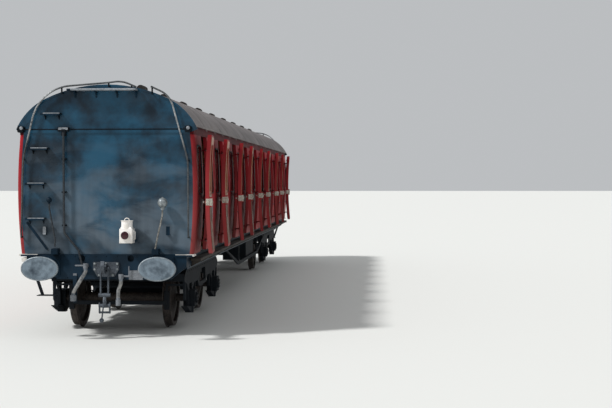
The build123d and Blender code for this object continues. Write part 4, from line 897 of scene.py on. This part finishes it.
class COACH_OT_rivets(bpy.types.Operator):
    """Put rivets on the solebars and nuts on the headstocks, buffers and bogies"""

    bl_idname = "coach.rivets"
    bl_label = "Rivets and nuts"

    def execute(self, context):
        sizes = context.scene.coach_sizes
        rivet = {"Radius": sizes.rivet_radius, "Top": sizes.rivet_radius * 0.55, "Height": 0.007, "Sides": 8}
        nut = {"Radius": sizes.nut_radius, "Top": sizes.nut_radius * 0.9, "Height": 0.016, "Sides": 6}
        small_nut = dict(nut, Radius=0.011, Top=0.010, Height=0.009)
        count = int(2 * (HALF_LENGTH - 0.1) / sizes.rivet_pitch)
        places = [-HALF_LENGTH + 0.1 + k * sizes.rivet_pitch for k in range(1, count)]
        solebars = [(SOLEBAR_FACE, y, z) for y in places for z in (1.235, 1.065)]
        headstocks = [(k * 0.16 - 1.12, 1.238) for k in range(15)]
        headstocks += [(x, 0.905) for x in (-0.9, -0.6, 0.05, 0.3, 0.6, 0.9)]
        ways = (-0.135, 0.135)
        x, z = BUFFER_PLACE
        flanges = [(side * x + dx, z + dz) for side in (-1, 1) for dx in ways for dz in ways]
        # Columns: piece, points, body, size, finish, slot
        pieces = [
            ("solebar_rivets", side_spots(solebars), "body", rivet, "black_metal", "black_metal"),
            ("headstock_rivets", end_spots(headstocks, 0.0), "body", rivet, "headstock_paint", "black_metal"),
            ("headstock_nuts", end_spots(flanges, 0.025), "body", nut, "headstock_paint", "black_metal"),
            ("hook_plate_nuts", end_spots(HOOK_PLATE_NUTS, 0.022), "body", nut, "knob_steel", "worn_steel"),
        ]
        for number, place in enumerate(BOGIE_PLACES, start=1):
            body = f"bogie_{number}"
            frames = [(BOGIE_FACE, place + (k - 8) * 0.2, 0.925) for k in range(17)]
            axles = (place - AXLE_PLACE, place + AXLE_PLACE)
            guides = [(y + shift, z) for y in axles for shift in (-0.17, 0.17) for z in (0.44, 0.52, 0.6, 0.68)]
            covers = [(AXLEBOX_FACE, y + dy, AXLE_HEIGHT + dz) for y in axles for dy, dz in circle(6, 0.066)]
            spots = side_spots(frames + [(BOGIE_FACE, y, z) for y, z in guides])
            pieces.append((f"bogie_rivets_{number}", spots, body, rivet, "black_metal", "black_metal"))
            spots = side_spots(covers)
            pieces.append((f"axlebox_nuts_{number}", spots, body, small_nut, "black_metal", "black_metal"))
        heads = head_tree()
        for name, spots, body, size, finish, slot in pieces:
            grow(name, heads, seed_points(spots), body, finish, size)
        return {"FINISHED"}


class COACH_OT_springs(bpy.types.Operator):
    """Wind the bolster springs of both bogies"""

    bl_idname = "coach.springs"
    bl_label = "Bolster springs"

    def execute(self, context):
        turns = context.scene.coach_sizes.coil_turns
        spring = {"Coil": 0.062, "Wire": 0.009, "Height": 0.152, "Turns": turns}
        coils = coil_tree()
        for number, place in enumerate(BOGIE_PLACES, start=1):
            spots = [(side * 0.924, place + shift, 0.625) for side in (-1, 1) for shift in (-0.075, 0.075)]
            seed = seed_points([(spot, UPWARDS) for spot in spots])
            grow(f"bolster_springs_{number}", coils, seed, f"bogie_{number}", "black_metal", spring)
        return {"FINISHED"}


class COACH_OT_rods(bpy.types.Operator):
    """Lay smooth rods over the rails, rods and pipes of both ends, and make hoses and coupling threads"""

    bl_idname = "coach.rods"
    bl_label = "Handrails, rods and hoses"

    def execute(self, context):
        rail = context.scene.coach_sizes.rail_radius
        hoses = (VACUUM_HOSE, STEAM_HOSE)
        hose_ends = [hose[part] for hose in hoses for part in (slice(0, 2), slice(2, 4))]
        # Columns: piece, routes, depth in front of the wall, radius, finish, slot, ends that have it
        pieces = (
            ("end_rails", (LEFT_RAIL, RIGHT_RAIL), RAIL_DEPTH, rail, "rail_steel", "black_metal", ENDS),
            ("painted_rods", (LEFT_ROD,), ROD_DEPTH, 0.0126, "pipe_paint", "black_metal", ENDS),
            ("knob_rods", (RIGHT_ROD,), ROD_DEPTH, 0.0126, "rubbed_rod", "black_metal", ENDS),
            ("alarm_pipe", (ALARM_PIPE,), PIPE_DEPTH, 0.0168, "pipe_paint", "black_metal", ENDS[:1]),
            ("brake_hoses", hoses, HOSE_DEPTH, 0.027, "rubber", "rubber", ENDS),
            ("hose_bands", hose_ends, HOSE_DEPTH, 0.030, "worn_steel", "worn_steel", ENDS),
        )
        rods = rod_tree()
        for name, routes, depth, radius, finish, slot, ends in pieces:
            runs = [end_run(route, depth, end) for end in ends for route in routes]
            if name == "hose_bands":
                runs = [shorten(run, 0.03) for run in runs]
            wire = {"Radius": radius, "Sides": 16, "Steps": 10}
            piece = grow(name, rods, seed_runs(runs), "body", finish, wire)
            if name == "brake_hoses":
                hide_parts("hoses")
        thread = {"Coil": 0.0235, "Wire": 0.0045, "Height": 0.135, "Turns": 11.0}
        seed = seed_points([(end @ Vector((0, -8.864, 0.50)), UPWARDS) for end in ENDS])
        grow("coupling_thread", coil_tree(), seed, "body", "worn_steel", thread)
        return {"FINISHED"}


class COACH_OT_end_details(bpy.types.Operator):
    """Add knobs, hose stays, tread edges, buffer rims, corner ledges and alarm bosses to the ends"""

    bl_idname = "coach.end_details"
    bl_label = "End details"

    def execute(self, context):
        painted, knobs, rims, dark, worn, ledges = (bmesh.new() for piece in range(6))
        # Outline of a knob from its collar up, as shares of its radius: reach, height
        bulb = [math.radians(angle) for angle in range(-65, 76, 10)]
        outline = [(0.42, -1.35), (0.42, -1.08), (0.36, -1.02)]
        outline += [(math.cos(angle), math.sin(angle)) for angle in bulb]
        outline += [(0.2, 1.0), (0.2, 1.12), (0.08, 1.16)]
        # The left knob takes the dark headstock enamel as painted shade, for it lies in shadow; the right knob is
        # rubbed steel
        for shape, (x, z, bend), radius in ((painted, LEFT_ROD[0], 0.0428), (knobs, RIGHT_ROD[0], 0.0748)):
            place = Matrix.Translation((x, -HALF_LENGTH - ROD_DEPTH, z))
            add_turned(shape, place, [(reach * radius, up * radius) for reach, up in outline])
        (middle, height), (half_wide, half_tall) = BUFFER_PLACE, BUFFER_HALVES
        # Pale rims over the buffer heads' edges: a painted highlight on their rounded rims
        for way in (-1, 1):
            rows = []
            for reach, depth in RIM_SECTION:
                wide, tall = half_wide + reach, half_tall + reach
                rim = [(way * middle + wide * x, height + tall * z) for x, z in circle(72)]
                rows.append([(x, BUFFER_FACE + depth, z) for x, z in rim])
            add_rows(rims, rows, closed=True)
        # Columns of a plate: shape, middle across the coach, its height, width, height, corner, steps, ends
        plates = [
            # Pale plates close the feet of the body's corners, and a cap the solebar's; their pale is partly white
            # paint, partly a painted highlight of the light on them
            (ledges, -1.1925, 1.249, 0.285, 0.030, 0.004, 2, -8.757, -8.56),
            (ledges, 1.1925, 1.249, 0.285, 0.030, 0.004, 2, -8.757, -8.56),
            (ledges, -1.311, 1.159, 0.152, 0.064, 0.012, 3, -8.470, -8.4485),
            # Stay of the parked brake hose
            (dark, -0.478, 0.7365, 0.057, 0.412, 0.012, 3, -8.767, -8.750),
            # Rubbed faces of the lamp iron and of the boxes at the rods' feet
            (worn, -0.941, 1.620, 0.048, 0.122, 0.008, 2, -8.769, -8.765),
            (worn, -0.771, 1.314, 0.078, 0.058, 0.010, 2, -8.8315, -8.826),
            (worn, 0.757, 1.314, 0.078, 0.058, 0.010, 2, -8.8315, -8.826),
        ]
        for x, z in TREADS:
            # Each tread has a turned-down lip, and its edge is rubbed bright
            plates.append((dark, x, z - 0.014, 0.292, 0.030, 0.006, 2, -8.860, -8.8552))
            plates.append((worn, x + 0.021, z + 0.002, 0.250, 0.013, 0.003, 2, -8.8615, -8.838))
        for shape, x, z, wide, tall, corner, steps, near, far in plates:
            add_prism(shape, rounded_rectangle(wide, tall, corner, steps, (x, z)), near, far)
        # The roof-edge footboard's worn top, drawn along the coach and turned across it
        board = rounded_rectangle(0.176, 0.0285, 0.006, 2, (-8.7895, 3.738))
        add_prism(worn, board, -0.4775, 0.505, Matrix.Rotation(math.pi / 2, 4, "Z"))
        pieces = (
            ("shaded_left_knobs", painted, "headstock_paint", "black_metal"),
            ("knobs", knobs, "knob_steel", "worn_steel"),
            ("buffer_rim_highlights", rims, "rim_steel", "worn_steel"),
            ("lips_and_stays", dark, "headstock_paint", "black_metal"),
            ("rubbed_edges", worn, "tread_steel", "worn_steel"),
            ("corner_ledges", ledges, "ledge_paint", "cream_paint"),
        )
        for name, shape, finish, slot in pieces:
            copy_to_far_end(shape)
            add_piece(name, shape, "body", finish, smooth=40)
        # The alarm gear is at the near end only
        bosses = bmesh.new()
        for x in (-1.285, 1.252):
            add_disc(bosses, (x, -HALF_LENGTH - 0.073, 3.164), (0, -1, 0), 0.027, 0.004, 20, 0.010)
        add_prism(bosses, rounded_rectangle(0.146, 0.036, 0.008, 3, (-0.648, 3.157)), -8.770, -8.764)
        add_piece("alarm_bosses", bosses, "body", "tread_steel", smooth=40)
        return {"FINISHED"}


class COACH_OT_brake_trusses(bpy.types.Operator):
    """Hang a pressed brake truss behind each wheelset; its black also fills the gap under the bogie as painted shade
    """

    bl_idname = "coach.brake_trusses"
    bl_label = "Brake trusses"

    def execute(self, context):
        for number, place in enumerate(BOGIE_PLACES, start=1):
            beams = bmesh.new()
            # Each truss also closes the gap over the axles with black: painted shade under the coach
            for middle in (place - TRUSS_PLACE, place + TRUSS_PLACE):
                add_prism(beams, TRUSS_OUTLINE, middle - 0.018, middle + 0.018)
            name, body = f"brake_trusses_{number}", f"bogie_{number}"
            add_piece(name, beams, body, "black_metal", smooth=40)
        return {"FINISHED"}


class COACH_OT_roof_bands(bpy.types.Operator):
    """Lay the joint bands of the roof sheets over the arch, and paint its edges and corners"""

    bl_idname = "coach.roof_bands"
    bl_label = "Roof bands and edges"

    def execute(self, context):
        bands, edges = bmesh.new(), bmesh.new()
        for number in range(1, 2 * COMPARTMENTS):
            add_arch(bands, number * PITCH / 2 - HALF_LENGTH, BAND_SECTION)
        add_arch(edges, -HALF_LENGTH, EDGE_SECTION)
        add_arch(edges, -HALF_LENGTH, CORNER_SECTION, -ROOF_SPAN, -CORNER_SPAN)
        add_arch(edges, -HALF_LENGTH, CORNER_SECTION, CORNER_SPAN, ROOF_SPAN)
        copy_to_far_end(edges)
        add_piece("roof_bands", bands, "body", "roof_paint", smooth=40)
        add_piece("roof_edges", edges, "body", "blue_black_paint", smooth=40)
        return {"FINISHED"}


class COACH_OT_seats(bpy.types.Operator):
    """Replace the plain seat blocks by stuffed and sewn moquette"""

    bl_idname = "coach.seats"
    bl_label = "Upholstery"

    def execute(self, context):
        sizes = context.scene.coach_sizes
        benches = [(0.05 - HALF_LENGTH, 1), (HALF_LENGTH - 0.05, -1)]
        for place in PARTITIONS:
            benches += [(place + 0.02, 1), (place - 0.02, -1)]
        foot, seat, head = BENCH_HEIGHTS
        # Columns: node, how far it reaches from the wall, its heights, its crown
        pads = (("seat_cushions", SEAT_REACH, foot, seat, 0.022), ("seat_backs", BACK_REACH, seat, head, 0.0))
        for node, reach, low, high, crown in pads:
            shape = bmesh.new()
            for wall, way in benches:
                near, far = sorted((wall, wall + way * reach))
                add_pad(shape, (-BENCH_HALF, near, low), (BENCH_HALF, far, high), sizes.seat_sections, crown)
            piece = add_piece(f"{node}_stuffed", shape, "body", "moquette", smooth=50)
            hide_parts(node)
        return {"FINISHED"}


class COACH_OT_lamp(bpy.types.Operator):
    """Give the tail lamp its ruby lens and its side handle"""

    bl_idname = "coach.lamp"
    bl_label = "Tail lamp"

    def execute(self, context):
        lens = bmesh.new()
        add_disc(lens, (0.331, -HALF_LENGTH - 0.266, 1.559), (0, -1, 0), 0.059, 0.003, 32, 0.017)
        add_piece("lamp_lens", lens, "body", "ruby", smooth=60)
        seed = seed_runs([end_run(LAMP_HANDLE, HOSE_DEPTH, ENDS[0])])
        wire = {"Radius": 0.006, "Sides": 8, "Steps": 4}
        grow("lamp_handle", rod_tree(), seed, "body", "cream_paint", wire)
        return {"FINISHED"}


class COACH_PT_panel(bpy.types.Panel):
    """List the coach's pieces in the sidebar"""

    bl_label = "Compartment Coach"
    bl_idname = "COACH_PT_panel"
    bl_space_type = "VIEW_3D"
    bl_region_type = "UI"
    bl_category = "Coach"

    def draw(self, context):
        for operator in OPERATORS:
            self.layout.operator(operator.bl_idname)


OPERATORS = (
    COACH_OT_finishes,
    COACH_OT_stage,
    COACH_OT_windows,
    COACH_OT_doors,
    COACH_OT_rivets,
    COACH_OT_springs,
    COACH_OT_rods,
    COACH_OT_end_details,
    COACH_OT_brake_trusses,
    COACH_OT_roof_bands,
    COACH_OT_seats,
    COACH_OT_lamp,
)
CLASSES = (COACH_sizes, COACH_colours, *OPERATORS, COACH_PT_panel)


def register():
    """Register the classes and hang the settings on the scene."""
    for item in CLASSES:
        bpy.utils.register_class(item)
    bpy.types.Scene.coach_sizes = PointerProperty(type=COACH_sizes)
    bpy.types.Scene.coach_colours = PointerProperty(type=COACH_colours)


def unregister():
    """Take the settings off the scene and unregister the classes."""
    del bpy.types.Scene.coach_colours
    del bpy.types.Scene.coach_sizes
    for item in reversed(CLASSES):
        bpy.utils.unregister_class(item)


def main():
    """Make every piece in order."""
    register()
    bpy.ops.coach.finishes()
    bpy.ops.coach.stage()
    bpy.ops.coach.windows()
    bpy.ops.coach.doors()
    bpy.ops.coach.rivets()
    bpy.ops.coach.springs()
    bpy.ops.coach.rods()
    bpy.ops.coach.end_details()
    bpy.ops.coach.brake_trusses()
    bpy.ops.coach.roof_bands()
    bpy.ops.coach.seats()
    bpy.ops.coach.lamp()


if __name__ == "__main__":
    main()
